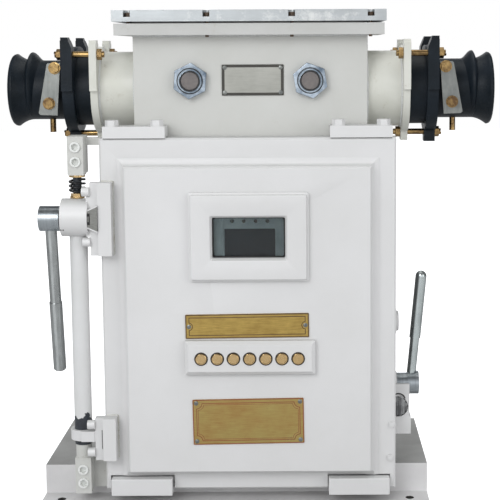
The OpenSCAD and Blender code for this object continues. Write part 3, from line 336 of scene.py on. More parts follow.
# The base enamel's faces that look up get a dark painted shade.
base_paint = paint(
    "base enamel", (0.7, 0.69, 0.69), (0.62, 0.61, 0.61), 11, 260, 0.42, settled=(0.265, 0.265, 0.255),
    stain=(45, 0.34, 6, (0.48, 0.46, 0.42), 0.7, 0))
black_enamel = paint(
    "black cast enamel", (0.005, 0.009, 0.013), (0.013, 0.019, 0.027), 18, 520, 0.42, 0.5, 0.6,
    specular=0.2)
nozzle_paint = paint(
    "nozzle enamel", (0.665, 0.665, 0.61), (0.61, 0.61, 0.545), 16, 280, 0.38, coat=0.1,
    stain=(55, 0.4, 5, (0.45, 0.42, 0.35), 0.6, 0))
weld_paint = paint("white weld enamel", (0.67, 0.68, 0.675), (0.6, 0.6, 0.58), 30, 700, 0.4, 0.5, 0.5)
dirty_weld = paint("dirty weld enamel", (0.64, 0.64, 0.61), (0.46, 0.44, 0.38), 45, 700, 0.45, 0.5, 0.5)
shaft_paint = paint("shaft enamel", (0.7, 0.7, 0.7), (0.66, 0.66, 0.65), 14, 300, 0.33, 0.25)
# The hinge brackets get a darker copy of the white enamel as painted shade, with stains.
shaded_bracket_paint = paint(
    "bracket enamel", (0.6, 0.6, 0.575), (0.55, 0.55, 0.52), 18, 300, 0.42,
    stain=(70, 0.38, 5, (0.42, 0.4, 0.34), 0.6, 0))
screw_white = paint("screw enamel", (0.8, 0.81, 0.79), (0.7, 0.71, 0.68), 60, 600, 0.3, 0.2, 0.2)

# %% [markdown]
# ## Bare and plated metal
# The lid was ground bare and has lost some of its paint, the levers are turned steel with a few rust
# freckles, and the studs and bolts are zinc plated with a yellow passivation that drifts from gold to
# brown.

# %% The metals
even = (1, 1, 1)
along_x, along_z = (0.05, 1, 1), (1, 1, 0.06)
lid_steel = metal(
    "ground lid steel", (0.12, 1, 1), 260, (0.54, 0.57, 0.58), (0.42, 0.44, 0.45), 0.34, metallic=0.85,
    bump=0.18, stain=(14, 0.47, 9, (0.7, 0.71, 0.7), 0.45, 0))
lever_steel = metal(
    "turned lever steel", along_z, 150, (0.84, 0.88, 0.88), (0.56, 0.58, 0.58), 0.22, 2,
    stain=(95, 0.36, 7, (0.16, 0.13, 0.11), 0.6, 0.3))
streaked_steel = metal(
    "lever steel with painted highlight", along_z, 150, (0.88, 0.95, 0.95), (0.5, 0.55, 0.55), 0.24, 1.6)
hub_steel = metal(
    "turned hub steel", (1, 0.04, 0.04), 240, (0.54, 0.58, 0.61), (0.24, 0.27, 0.29), 0.34, 1.4,
    bump=0.25)
knob_steel = metal(
    "ribbed knob steel", (1, 1, 0.05), 260, (0.62, 0.63, 0.63), (0.13, 0.13, 0.135), 0.25, 3.5, bump=0.3,
    depth=0.3)
strap_steel = metal(
    "zinc strap steel", (1, 1, 0.3), 160, (0.34, 0.35, 0.33), (0.15, 0.16, 0.16), 0.42, bump=0.3,
    depth=0.3, stain=(120, 0.36, 6, (0.3, 0.22, 0.15), 0.7, 0))
yellow_zinc = metal(
    "yellow passivated zinc", even, 150, (0.46, 0.31, 0.13), (0.14, 0.085, 0.045), 0.28, 2.4, bump=0.1,
    depth=0.1, stain=(140, 0.4, 5, (0.36, 0.24, 0.13), 0.4, 1))
brass = metal(
    "plate brass", along_x, 900, (0.68, 0.48, 0.15), (0.38, 0.25, 0.075), 0.36, 1.8, bump=0.12, depth=0.1,
    stain=(60, 0.34, 4, (0.26, 0.21, 0.09), 0.55, 0.7))
warm_brass = metal(
    "lower plate brass", along_x, 900, (0.58, 0.46, 0.17), (0.46, 0.28, 0.1), 0.36, 1.8, bump=0.12,
    depth=0.1, stain=(48, 0.38, 4, (0.36, 0.17, 0.08), 0.55, 0.6))
button_brass = metal(
    "polished button brass", even, 300, (0.86, 0.62, 0.33), (0.62, 0.42, 0.19), 0.24, 1.6, bump=0.1,
    depth=0.1)
rusty_iron = metal(
    "rusty bolt iron", even, 150, (0.2, 0.15, 0.11), (0.09, 0.06, 0.05), 0.6, metallic=0.5, bump=0.5,
    depth=0.5, stain=(160, 0.45, 6, (0.32, 0.13, 0.05), 0.9, 0))
gland_chrome = metal(
    "plated gland", even, 90, (0.5, 0.57, 0.64), (0.13, 0.17, 0.22), 0.16, 2, bump=0.1, depth=0.1)
disc_steel = metal(
    "dull disc steel", even, 200, (0.25, 0.225, 0.21), (0.12, 0.115, 0.12), 0.45, metallic=0.8, bump=0.25)
badge_steel = metal(
    "badge steel", along_x, 700, (0.5, 0.5, 0.46), (0.32, 0.32, 0.29), 0.36, bump=0.12, depth=0.1,
    stain=(90, 0.34, 6, (0.2, 0.17, 0.12), 0.7, 0.3))
black_spring = metal(
    "oiled spring steel", even, 200, (0.035, 0.035, 0.038), (0.015, 0.015, 0.016), 0.32, metallic=0.6,
    bump=0.1, depth=0.1)
machined = metal(
    "machined cover steel", (0.3, 1, 1), 420, (0.36, 0.36, 0.34), (0.14, 0.14, 0.13), 0.4, metallic=0.7,
    bump=0.4, depth=0.3)

# %% [markdown]
# ## Painted light on the levers, and bare ends
# A lever's rod is darkened by the way its surface faces: painted shade on its sides leaves a painted
# highlight down the rod. The paint of the hinge shaft stops raggedly above its foot and at the spring,
# and oiled steel shows beyond it.

# %% Change a material by normal or by height
def paint_side_shade(material, stops):
    """Darkens a rod as painted shade by the way its surface faces, from the left (0) to the right (1)."""
    tree = material.node_tree
    shader = tree.nodes["Principled BSDF"]
    sideways = split(coords(tree)["Normal"])["X"]
    from_left = plus(times(sideways, 0.5), 0.5)
    ramp = place_node(tree, "ShaderNodeValToRGB", {0: from_left})
    tones = ramp.color_ramp.elements
    while len(tones) < len(stops):
        tones.new(0.5)
    for tone, (place, value) in zip(tones, stops):
        tone.position, tone.color = place, rgba(value, value, value)
    plain = shader.inputs["Base Color"].links[0].from_socket
    feed(shader, {"Base Color": blend(1.0, plain, ramp.outputs[0], "MULTIPLY")})


def bare_ends(material, low, high, colour, streak):
    """Lets the paint stop at two heights (mm) with a ragged edge, and shows oiled steel beyond them."""
    tree = material.node_tree
    shader = tree.nodes["Principled BSDF"]
    place = coords(tree)["Object"]
    level = split(place)["Z"]
    ragged = times(minus(noise(place, 70.0, 4.0), 0.5), 0.045)
    height = plus(level, ragged)
    below = times(minus(low / 1000, height), 2500.0, True)
    above = times(minus(level, high / 1000), 2500.0, True)
    painted = shader.inputs["Base Color"].links[0].from_socket
    streaks = blend(noise(place, 160.0, 4.0), rgba(*colour), rgba(*streak))
    mask = plus(below, above, True)
    feed(shader, {"Base Color": blend(mask, painted, streaks)})


# Painted shade on the levers' sides, with a painted highlight where the tone stays near 1.
paint_side_shade(streaked_steel, ((0, 0.14), (0.25, 0.24), (0.34, 0.95), (0.78, 1.0), (0.97, 0.4)))
paint_side_shade(
    lever_steel,
    ((0, 0.2), (0.1, 0.55), (0.3, 0.6), (0.36, 1.0), (0.5, 1.0), (0.58, 0.7), (0.9, 0.65), (1.0, 0.35)))
bare_ends(shaft_paint, 157, 519, (0.006, 0.006, 0.007), (0.06, 0.07, 0.085))

# %% [markdown]
# ## Mouldings, rubber and glass
# Most of the inner gear is moulded. The window is toughened glass: plain transmission, hardly a colour
# and a few smudges. Behind it is a dark screen in a blue-grey case.

# %% The rest of the finishes
def moulding(name, colour, second, roughness=0.45, specular=0.5):
    return paint(name, colour, second, 14.0, 900.0, roughness, 0.2, 0.2, specular=specular)


black_rubber = moulding("sealing rubber", (0.02, 0.02, 0.02), (0.035, 0.035, 0.035), 0.7)
red_moulding = moulding("contactor moulding", (0.3, 0.045, 0.03), (0.24, 0.035, 0.025))
white_ceramic = moulding("interrupter ceramic", (0.76, 0.75, 0.71), (0.7, 0.69, 0.64), 0.15)
black_moulding = moulding("switch moulding", (0.025, 0.025, 0.027), (0.04, 0.04, 0.042), 0.4)
core_iron = moulding("varnished core", (0.2, 0.11, 0.06), (0.13, 0.07, 0.04), 0.35)
beige_moulding = moulding("fuse carrier", (0.6, 0.55, 0.42), (0.54, 0.49, 0.37))
brown_moulding = moulding("post moulding", (0.17, 0.07, 0.035), (0.13, 0.05, 0.03), 0.3)
grey_moulding = moulding("controller case", (0.5, 0.51, 0.5), (0.46, 0.47, 0.46), 0.5)
display_case = moulding("display case", (0.27, 0.325, 0.345), (0.14, 0.175, 0.19), 0.4, 0.15)
screen_dark = moulding("display screen", (0.009, 0.014, 0.02), (0.006, 0.009, 0.013), 0.2, 0.08)
ring_dark = moulding("button gasket", (0.035, 0.027, 0.02), (0.05, 0.04, 0.03), 0.5)
plate_border = moulding("plate border enamel", (0.085, 0.045, 0.016), (0.15, 0.085, 0.03), 0.4)
red_border = moulding("lower plate border enamel", (0.3, 0.075, 0.03), (0.2, 0.055, 0.025), 0.4)
badge_border = moulding("badge border enamel", (0.035, 0.034, 0.03), (0.06, 0.055, 0.045))
# Near-black painted shade for the foot holes' walls and the seams under the upper hooks.
painted_gap_shade = moulding("painted shade in holes and seams", (0.03, 0.028, 0.025), (0.06, 0.055, 0.05), 0.9)

clear_glass, glass_tree, glass_shader = new_material("window glass")
smudge = times(noise(coords(glass_tree)["Object"], 25.0, 4.0), 0.08)
feed(glass_shader, {"Base Color": rgba(0.93, 0.97, 0.96), "Roughness": smudge, "Transmission Weight": 1.0,
                    "IOR": 1.45, "Specular IOR Level": 0.2})
print(len(bpy.data.materials), "materials")

# %% [markdown]
# ## Edges that catch the light
# A sharp CAD edge never catches light, and every edge on the real starter is broken by grinding, paint or
# moulding. The CAD nodes may not change, so most are copied. The copy's triangles are welded and
# dissolved back into flat faces, a bevel rounds its edges, and it stands for the node. A bevel that only
# looks at sharp angles leaves the round faces alone.

# %% Copy a CAD node and round its edges
SHARP = radians(30)


def belong(piece, body, stands_for=()):
    """Ties a finished piece to its body, and hides the CAD nodes that it stands for."""
    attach(piece, body)
    if stands_for:
        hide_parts(*stands_for)


def dress(node, material, width, shape=None):
    """Stands a copy with edges broken by a width in millimetres in a node's place."""
    bm = bmesh.new()
    bm.from_mesh(nodes[node].data)
    bmesh.ops.remove_doubles(bm, verts=bm.verts, dist=2e-6)
    bmesh.ops.dissolve_limit(bm, angle_limit=radians(0.5), verts=bm.verts, edges=bm.edges)
    if shape:
        shape(bm)
    for face in bm.faces:
        face.smooth = True
    for edge in bm.edges:
        edge.smooth = len(edge.link_faces) == 2 and edge.calc_face_angle(0) < SHARP
    piece = end_mesh(bm, f"{node}.dressed")
    bevel = piece.modifiers.new("broken edges", "BEVEL")
    bevel.width = width / 1000
    bevel.segments = 2
    bevel.limit_method = "ANGLE"
    bevel.angle_limit = SHARP
    bevel.harden_normals = True
    bevel.miter_outer = "MITER_ARC"
    piece.data.materials.append(material)
    belong(piece, body_of[node], (node,))
    return piece


# %% [markdown]
# ## The welded steelwork
# Plates of ten millimetres and more keep a broken edge of about a millimetre and a half. The base channel
# was bent from plate, so its edges are rounder, and the walls of its four foot holes get painted shade.

# %% Dress the steelwork
def dress_all(title, table):
    for material, widths in table.items():
        for node, width in widths.items():
            dress(node, material, width)
    print(title, sum(len(widths) for widths in table.values()))


dress_all("steel pieces:", {
    white_paint: {"main_housing": 1.2, "foot_hooks": 1.6, "interlock_guard": 1.5, "side_plug": 1.2,
                  "door_plate": 1.2, "upper_hooks": 1.6, "cam_housing": 1.4, "lower_hinge": 1.6},
    shaded_box_paint: {"cable_box": 1.4, "cable_box_ends": 0.6},
    shaded_rim_paint: {"cable_box_rim": 1.4},
    lid_steel: {"cable_box_lid": 1.2},
    nozzle_paint: {"cable_nozzle_left": 1.6, "cable_nozzle_right": 1.6},
    shaded_bracket_paint: {"hinge_bracket_top": 1.5, "hinge_bracket_foot": 1.5},
})


def shaded_holes(bm):
    """Gives the walls of the four foot holes the second material, a near-black painted shade."""
    axes = [at(x, y, 0) for x in (-319, 266) for y in (12.5, 324.5)]
    for face in bm.faces:
        for axis in axes:
            if all((v.co - axis).xy.length < 0.0075 for v in face.verts):
                face.material_index = 1


# The walls of the foot holes get the near-black painted shade.
dress("base_frame", base_paint, 2.5, shaded_holes).data.materials.append(painted_gap_shade)

# %% [markdown]
# The panel is welded to the flange with a broad fillet that was ground hollow. The CAD model has a plain
# slope there, so the copy's four slopes are cut into strips, and each new corner moves onto a quarter of an
# ellipse.

# %% Hollow out the weld round the panel
def hollow_slopes(bm, strips=8):
    slopes = [f for f in bm.faces if 0.6 < abs(f.normal.y) < 0.8 and f.calc_area() > 0.002]
    depths = [v.co.y for f in slopes for v in f.verts]
    front, back = min(depths), max(depths)
    for i in range(1, strips):
        y = back + (front - back) * (1 - cos(i / strips * pi / 2))
        edges = {e for f in slopes for e in f.edges}
        verts = {v for f in slopes for v in f.verts}
        cut = bmesh.ops.bisect_plane(bm, geom=[*verts, *edges, *slopes], dist=1e-7, plane_co=(0, y, 0),
                                     plane_no=(0, 1, 0))
        slopes = [part for part in cut["geom"] if isinstance(part, bmesh.types.BMFace)]
    outwards = {}
    for face in slopes:
        out = Vector((round(face.normal.x), 0, round(face.normal.z)))
        for vert in face.verts:
            outwards.setdefault(vert, {})[tuple(out)] = out
    for vert, directions in outwards.items():
        share = (back - vert.co.y) / (back - front)
        push = (back - front) * (sqrt(max(0, 2 * share - share * share)) - share)
        for out in directions.values():
            vert.co -= out * push
    print("panel weld cut into", len(slopes), "strips")


dress("door_panel", white_paint, 1.6, hollow_slopes)

# %% Dress the castings, bolts and inner gear
dress_all("fittings:", {
    black_enamel: {"bell_mouth_left": 1.2, "bell_mouth_right": 1.2},
    black_rubber: {"sealing_rings": 1.0},
    yellow_zinc: {"gland_studs": 0.7, "clamp_bolts": 1.3},
    strap_steel: {"cable_clamp_left": 0.8, "cable_clamp_right": 0.8, "mounting_tray": 0.8},
    gland_chrome: {"control_gland_left": 0.9, "control_gland_right": 0.9},
    disc_steel: {"blanking_discs": 0.5},
    rusty_iron: {"lid_bolts": 0.7},
    screw_white: {"bracket_screws": 0.9},
    white_paint: {"door_bolts": 0.9, "button_bar": 1.6},
    button_brass: {"spring_washer": 0.4, "spring_seat": 0.6},
    clear_glass: {"window_glass": 0.6},
    display_case: {"display_unit": 0.8},
    knob_steel: {"stop_button": 0.7},
    red_moulding: {"vacuum_contactor": 1.5},
    white_ceramic: {"vacuum_interrupters": 1.2},
    black_moulding: {"isolating_switch": 1.2},
    core_iron: {"control_transformer": 1.5},
    beige_moulding: {"fuse_block": 1.2},
    brown_moulding: {"through_terminals": 0.8},
    grey_moulding: {"controller_unit": 2.0},
})

# %% [markdown]
# ## Drawing solids
# Where the CAD model is too plain, a piece is drawn anew at the same place, in one of two ways. A turned
# solid is a profile of distances and radii that goes round an axis, as on a lathe. A loft joins loops of
# the same number of points, one loop for each depth. Several solids can share one mesh.

# %% Turned solids and lofts
def add_turned(bm, profile, origin, direction, steps=48, slot=0):
    """Turns [(distance, radius)] round an axis; a radius of 0 closes the end."""
    axis = Vector(direction).normalized()
    side = axis.orthogonal().normalized()
    up = axis.cross(side)
    rings = []
    for distance, radius in profile:
        middle = origin + axis * (distance / 1000)
        if radius == 0:
            rings.append([bm.verts.new(middle)])
            continue
        rings.append([bm.verts.new(middle + (side * cos(a) + up * sin(a)) * (radius / 1000))
                      for a in (i * tau / steps for i in range(steps))])
    for first, second in zip(rings, rings[1:]):
        for i in range(steps):
            j = (i + 1) % steps
            corners = [ring[k % len(ring)] for ring, k in ((first, i), (first, j), (second, j), (second, i))]
            corners = list(dict.fromkeys(corners))
            if len(corners) > 2:
                bm.faces.new(corners).material_index = slot


def add_loft(bm, loops, ring=False, slot=0):
    """Joins loops of equal length; a ring joins the last to the first, otherwise both ends are closed."""
    rows = [[bm.verts.new(p) for p in loop] for loop in loops]
    pairs = list(zip(rows, rows[1:])) + ([(rows[-1], rows[0])] if ring else [])
    for first, second in pairs:
        for i in range(len(first)):
            j = (i + 1) % len(first)
            bm.faces.new((first[i], first[j], second[j], second[i])).material_index = slot
    if not ring:
        bm.faces.new(rows[0][::-1]).material_index = slot
        bm.faces.new(rows[-1]).material_index = slot


def add_slabs(bm, slabs, front, back):
    """Rectangular blocks between two depths, each from its left and right side, its foot and its top."""
    for x0, x1, z0, z1 in slabs:
        sides = (x0, z0), (x1, z0), (x1, z1), (x0, z1)
        add_loft(bm, [[at(x, y, z) for x, z in sides] for y in (front, back)])


def tilted(middle, u, v, tilt):
    """The x and z of a point on a plate that hangs out of level, from its own across and up."""
    c, s = cos(radians(tilt)), sin(radians(tilt))
    return middle[0] + u * c - v * s, middle[1] + u * s + v * c


def rounded(width, height, radius, y, middle, tilt=0.0, corner_steps=6):
    """Loop of a rectangle with rounded corners that faces the reader, at depth y."""
    points = []
    for sx, sz, start in ((1, 1, 0), (-1, 1, 90), (-1, -1, 180), (1, -1, 270)):
        for i in range(corner_steps + 1):
            a = radians(start + 90 * i / corner_steps)
            x, z = tilted(middle, sx * (width / 2 - radius) + radius * cos(a),
                          sz * (height / 2 - radius) + radius * sin(a), tilt)
            points.append(at(x, y, z))
    return points


def make_piece(name, build, materials, body="door", stands_for=(), sharp=35):
    """Runs build on an empty mesh and ties the piece to its body."""
    bm = bmesh.new()
    build(bm)
    bmesh.ops.remove_doubles(bm, verts=bm.verts, dist=1e-7)
    bmesh.ops.recalc_face_normals(bm, faces=bm.faces)
    piece = end_mesh(bm, name)
    for material in materials:
        piece.data.materials.append(material)
    piece.data.shade_smooth()
    piece.data.set_sharp_from_angle(angle=radians(sharp))
    belong(piece, body, stands_for)


# %% [markdown]
# ## Growing what repeats
# Threads, weld beads and small domes repeat along a line or over points, which is work for Geometry
# Nodes. Each tree has named inputs, a seed where it draws at random, and ends in Realize Instances and
# Set Material. The result is read back as a plain mesh, so that the finished piece is ordinary geometry.

# %% A tree's result as a plain piece
def new_growth(name, **sockets):
    given = [("Geometry", "Geometry"), *sockets.items(), ("Material", "Material")]
    return new_tree("GeometryNodeTree", name, given, given[:1])


def end_growth(s, end, geometry):
    realize = place_beside("GeometryNodeRealizeInstances", {0: geometry})
    shade = place_beside("GeometryNodeSetShadeSmooth", {0: realize.outputs[0]})
    inputs = {"Geometry": shade.outputs[0], "Material": s["Material"]}
    feed(end, {0: place_beside("GeometryNodeSetMaterial", inputs).outputs[0]})
    return end.id_data


def on_points(s, instance, **more):
    inputs = {"Points": s["Geometry"], "Instance": instance, **more}
    return place_beside("GeometryNodeInstanceOnPoints", inputs).outputs[0]


def pipe_along(curve, radius, **more):
    """An eight-sided pipe along a curve."""
    circle = place_beside("GeometryNodeCurvePrimitiveCircle", {"Resolution": 8, "Radius": radius})
    inputs = {"Fill Caps": True, "Curve": curve, "Profile Curve": circle.outputs[0], **more}
    return place_beside("GeometryNodeCurveToMesh", inputs).outputs[0]


def grow(tree, name, body, slot, points, runs=(), **values):
    """Runs a tree on points and the runs (edges) between them, and ties the result to its body."""
    mesh = bpy.data.meshes.new(name + ".points")
    mesh.from_pydata(points, runs, [])
    holder = add_object(name + ".holder", mesh)
    modifier = holder.modifiers.new("grow", "NODES")
    modifier.node_group = tree
    for item in tree.interface.items_tree:
        if item.in_out == "INPUT" and item.name.lower() in values:
            modifier[item.identifier] = values[item.name.lower()]
    graph = bpy.context.evaluated_depsgraph_get()
    result = bpy.data.meshes.new_from_object(holder.evaluated_get(graph), depsgraph=graph)
    result.name = name
    bpy.data.objects.remove(holder)
    piece = add_object(name, result)
    belong(piece, body)
    return piece


# %% Tree: a coil on every point
def build_coil():
    tree, s, end = new_growth("coil", Float="Turns Radius Wire Height", Int="Steps", Rotation="Aim")
    inputs = {"Resolution": s["Steps"], "Rotations": s["Turns"], "Start Radius": s["Radius"],
              "End Radius": s["Radius"], "Height": s["Height"]}
    wire = pipe_along(place_beside("GeometryNodeCurveSpiral", inputs).outputs[0], s["Wire"])
    return end_growth(s, end, on_points(s, wire, Rotation=s["Aim"]))


# %% Tree: a rippled bead along a path
def build_bead():
    tree, s, end = new_growth("weld bead", Float="Size Ripple Step", Int="Seed")
    curve = place_beside("GeometryNodeMeshToCurve", {0: s["Geometry"]})
    evened = place_beside("GeometryNodeResampleCurve", {"Curve": curve.outputs[0], "Length": s["Step"]},
                          {"mode": "LENGTH"})
    along = place_node(tree, "GeometryNodeSplineParameter").outputs["Length"]
    wave = maths("SINE", times(maths("DIVIDE", along, s["Ripple"]), tau))
    uneven = place_beside("FunctionNodeRandomValue", {2: 0.86, 3: 1.1, "Seed": s["Seed"]},
                          {"data_type": "FLOAT"})
    swell = plus(times(wave, 0.14), uneven.outputs[1])
    return end_growth(s, end, pipe_along(evened.outputs[0], s["Size"], Scale=swell))


# %% Tree: a domed head on every point
def build_dome():
    tree, s, end = new_growth("dome", Float="Radius Rise")
    ball = place_node(tree, "GeometryNodeMeshUVSphere", {"Segments": 24, "Rings": 16, "Radius": 1})
    size = place_beside("ShaderNodeCombineXYZ", {"X": s["Radius"], "Y": s["Rise"], "Z": s["Radius"]})
    return end_growth(s, end, on_points(s, ball.outputs["Mesh"], Scale=size.outputs[0]))


coil_tree, bead_tree, dome_tree = build_coil(), build_bead(), build_dome()
print("trees:", coil_tree.name, bead_tree.name, dome_tree.name)

# %% [markdown]
# ## Welds
# The box is welded from plate, so a bead runs wherever two plates meet: round the cable box and both
# nozzles, along the housing's flange, where the housing stands on its channel, and, never cleaned, round
# the hinge plates. Every bead is one path for the tree.

# %% Weld beads
def ring_path(x, y, z, radius, steps=64):
    return [at(x, y + radius * cos(i * tau / steps), z + radius * sin(i * tau / steps))
            for i in range(steps)]


def box_path(x0, x1, y0, y1, z):
    return [at(x0, y0, z), at(x1, y0, z), at(x1, y1, z), at(x0, y1, z)]


def weld(name, path, size, seed, closed=True, body="starter", material=weld_paint):
    runs = [(i, i + 1) for i in range(len(path) - 1)] + ([(len(path) - 1, 0)] if closed else [])
    grow(bead_tree, f"weld.{name}", body, "white_paint", path, runs, size=size / 1000, ripple=0.0045,
         step=0.0011, seed=seed, material=material)


box_x0, box_x1 = BOX_X - 192, BOX_X + 192
wall_x = 226.3
for edge, side in SIDES:
    weld(f"nozzle_{side}", ring_path(BOX_X + edge * 192.6, NOZZLE_Y, NOZZLE_Z, 64.6), 2.6, 2 + edge)
    weld(f"flange_{side}", ring_path(BOX_X + edge * 251.4, NOZZLE_Y, NOZZLE_Z, 64.4), 2.0, 5 + edge)
    weld(f"body_{side}", [at(edge * wall_x, 40.8, 60), at(edge * wall_x, 40.8, 599)], 2.4, 8 + edge, False)
weld("box_foot", box_path(box_x0, box_x1, 45, 195, 600.4), 3.0, 11)
weld("box_rim", box_path(box_x0, box_x1, 45, 195, 781.2), 2.2, 12)
for i, (x, y) in enumerate(((box_x0, 55), (box_x1, 55), (box_x0, 185), (box_x1, 185))):
    weld(f"box_corner_{i + 1}", [at(x, y, 601), at(x, y, 781)], 1.5, 20 + i, False)
weld("channel", box_path(-226, 226, 44, 285.2, 57.4), 2.6, 13)
weld("boss", ring_path(wall_x, 70, 190.5, 19.4, 40), 1.8, 14)
weld("plug", ring_path(wall_x, 70, 298, 22.8, 40), 1.8, 15)
for i, (low, high) in enumerate(((84.6, 156.4), (426.6, 546.4))):
    path = [at(x, -0.6, z) for x, z in ((-238, low), (-219.6, low), (-219.6, high), (-238, high))]
    weld(f"hinge_{i + 1}", path, 1.9, 30 + i, False, "door", dirty_weld)

# %% [markdown]
# ## The window
# The frame is a casting with rounded corners whose front edge rolls over towards the glass. Fourteen
# loops make it: up the outside, over the front and back down the opening. Behind the glass sits the
# display, with a dark screen, four small lamps and a rubber seal round it; the seal's black also paints the
# shade along the opening's inner edges.

# %% Window frame
frame_outside = [(194, 145, 4, -22), (194, 145, 4, -27.2), (193, 144, 4, -27.8), (188, 139, 3, -28.2),
                 (187.2, 138.2, 3, -28.7), (186.6, 137.6, 3, -32), (186, 137, 3, -33.2),
                 (184.9, 135.9, 3, -33.9), (183.6, 134.6, 3, -34)]
frame_inside = [(126.4, 74.4, 3, -34), (124.6, 72.6, 3, -33.7), (119, 67, 2.5, -29.5), (118, 66, 2.5, -28.6),
                (118, 66, 2.5, -22)]
frame_loops = [rounded(*size, (1.5, 458)) for size in frame_outside]
frame_loops += [rounded(*size, (1.5, 457)) for size in frame_inside]
make_piece(
    "window_frame.cast", lambda bm: add_loft(bm, frame_loops, True), [white_paint],
    stands_for=("window_frame",), sharp=24)

# %% Screen, seal and lamps
screen_sizes = (82, 53, 1.5, -13), (82, 53, 1.5, -14.2), (81, 52, 1, -14.4)
screen_loops = [rounded(*size, (3, 443.5)) for size in screen_sizes]
make_piece("display.screen", lambda bm: add_loft(bm, screen_loops), [screen_dark])
# The black seal is partly a real seal and partly painted shade along the opening's inner edges.
outer_seal, inner_seal = (119, 67, 5.5, 457), (113, 61.5, 3, 457.4)
seal_loops = [rounded(w, h, radius, depth, (1.5, z)) for (w, h, radius, z), depth in (
    (outer_seal, -22.3), (inner_seal, -22.3), (inner_seal, -21.8), (outer_seal, -21.8))]
make_piece("window.seal", lambda bm: add_loft(bm, seal_loops, True), [black_rubber])
lamp_colours = ((0.008, 0.013, 0.010), (0.016, 0.012, 0.008), (0.018, 0.008, 0.008), (0.010, 0.012, 0.014))
lamp_pitch = 19
for i, colour in enumerate(lamp_colours):
    place = at(3 + (i - 1.5) * lamp_pitch, -13.9, 482.5)
    grow(dome_tree, f"display.lamp_{i + 1}", "door", "display_plastic", [place], radius=0.0031,
         rise=0.0008, material=moulding(f"lamp {i + 1}", colour, colour, 0.2))

# %% [markdown]
# ## The buttons
# Seven brass buttons sit in a raised bar. Each is one turned profile: a plug with a broken rim, a guide
# behind it and a stem that reaches the switch inside. A dark gasket ring stands in the bar round each of
# them.

# %% Push buttons and their gaskets
button_places = [at(1.5 + (i - 3) * 26.2, 0, 260) for i in range(7)]
button_profile = [(10.49, 0), (10.49, 4), (22.8, 4), (22.8, 7), (32, 7), (32, 9), (38, 9), (38.6, 8.8),
                  (39, 8.2), (39, 7.3), (38.7, 6.9), (38.75, 3.5), (38.8, 0)]
gasket_profile = [(35.5, 9.3), (36.4, 9.3), (36.7, 9.7), (36.7, 10.6), (36.4, 11.1), (35.5, 11.1),
                  (35.5, 9.3)]
for i, place in enumerate(button_places):
    button = f"push_button_{i + 1}"
    make_piece(f"{button}.turned", lambda bm: add_turned(bm, button_profile, place, FACING), [button_brass],
               button, (button,), 30)


def build_gaskets(bm):
    for place in button_places:
        add_turned(bm, gasket_profile, place, FACING, 40)


make_piece("button_gaskets", build_gaskets, [ring_dark])

# %% [markdown]
# ## The blank plates
# Each of the three plates is sheet with a soft front edge and etched border lines that bend round its
# slotted screws. The two on the door hang a little out of level.

# %% Plates with borders and screws
def notched(width, height, inward, y, middle, tilt, corner, side, steps=10):
    """Loop of a border line at an inward distance, with hollow corners or a hollow in both ends."""
    u, v, points = width / 2, height / 2, []

    def hollow(cu, cv, radius, start, sweep):
        lean = degrees(asin(inward / (radius + inward)))
        for i in range(steps + 1):
            a = radians(start - lean - (sweep - 2 * lean) * i / steps)
            points.append((cu + (radius + inward) * cos(a), cv + (radius + inward) * sin(a)))

    for su, sv, start in ((1, 1, 270), (-1, 1, 360), (-1, -1, 90), (1, -1, 180)):
        if side and su == sv:
            hollow(su * u, 0, side, start if su > 0 else 90, 180)
        if corner:
            hollow(su * u, sv * v, corner, start, 90)
        else:
            points.append((su * (u - inward), sv * (v - inward)))
    flat = [tilted(middle, p, q, tilt) for p, q in points]
    return [at(x, y, z) for x, z in flat]


def add_screw(bm, x, y, z, radius, turn):
    """A round head with a slot: a thin disc and two halves that stand on it."""
    add_turned(bm, [(-1, 0), (-1, radius), (0.45, radius), (0.45, 0)], at(x, y, z), FACING, 32)
    gap = asin(0.16)
    for flip in (0, pi):
        angles = [turn + flip + gap + (pi - 2 * gap) * i / 10 for i in range(11)]
        add_loft(bm, [[at(x + reach * cos(a), y - rise, z + reach * sin(a)) for a in angles]
                      for rise, reach in ((0.4, radius), (0.9, radius), (1.3, 0.8 * radius))])


def plate(name, size, middle, face, tilt, material, ink, lines, body, screws):
    """A plate at depth face. A line has width, height, thickness and the radii of hollow corners and ends."""
    w, h = size

    def build(bm):
        add_loft(bm, [rounded(w, h, 2, face + 1.6, middle, tilt), rounded(w, h, 2, face + 0.3, middle, tilt),
                      rounded(w - 0.6, h - 0.6, 2, face, middle, tilt)])

    def build_line(bm, lw, lh, line, corner, end):
        foot, top = face + 0.1, face - 0.12
        add_loft(bm, [notched(lw, lh, inward, y, middle, tilt, corner, end)
                      for inward, y in ((0, foot), (0, top), (line, top), (line, foot))], ring=True)

    def build_screws(bm):
        for i, (u, v) in enumerate(screws):
            x, z = tilted(middle, u, v, tilt)
            add_screw(bm, x, face, z, 3.6, 0.5 + 0.9 * i)

    make_piece(f"{name}.sheet", build, [material], body, (name,))
    for i, line in enumerate(lines):
        make_piece(f"{name}.line_{i + 1}", lambda bm: build_line(bm, *line), [ink], body)
    make_piece(f"{name}.screws", build_screws, [strap_steel], body)


def corners(u, v):
    return [(-u, -v), (u, -v), (-u, v), (u, v)]


plate("label_plate", (201, 40), (-2.5, 311.5), -23.6, 0.6, brass, plate_border,
      [(200.4, 39.4, 1.6, 0, 0), (190, 30.5, 1.3, 0, 5.6)], "door", [(-94.5, 0), (94.5, 0)])
plate("lower_plate", (182, 76), (-2, 152), -23.6, 0.8, warm_brass, red_border,
      [(181.4, 75.4, 1.4, 0, 0), (170, 64, 1.1, 9, 0), (164.5, 58.5, 0.7, 9, 0)], "door",
      corners(85, 32))
plate("badge_plate", (102, 51), (7.5, 708), 43.4, 0.0, badge_steel, badge_border, [(101.4, 50.4, 4.5, 0, 0)],
      "starter", corners(46, 20.5))

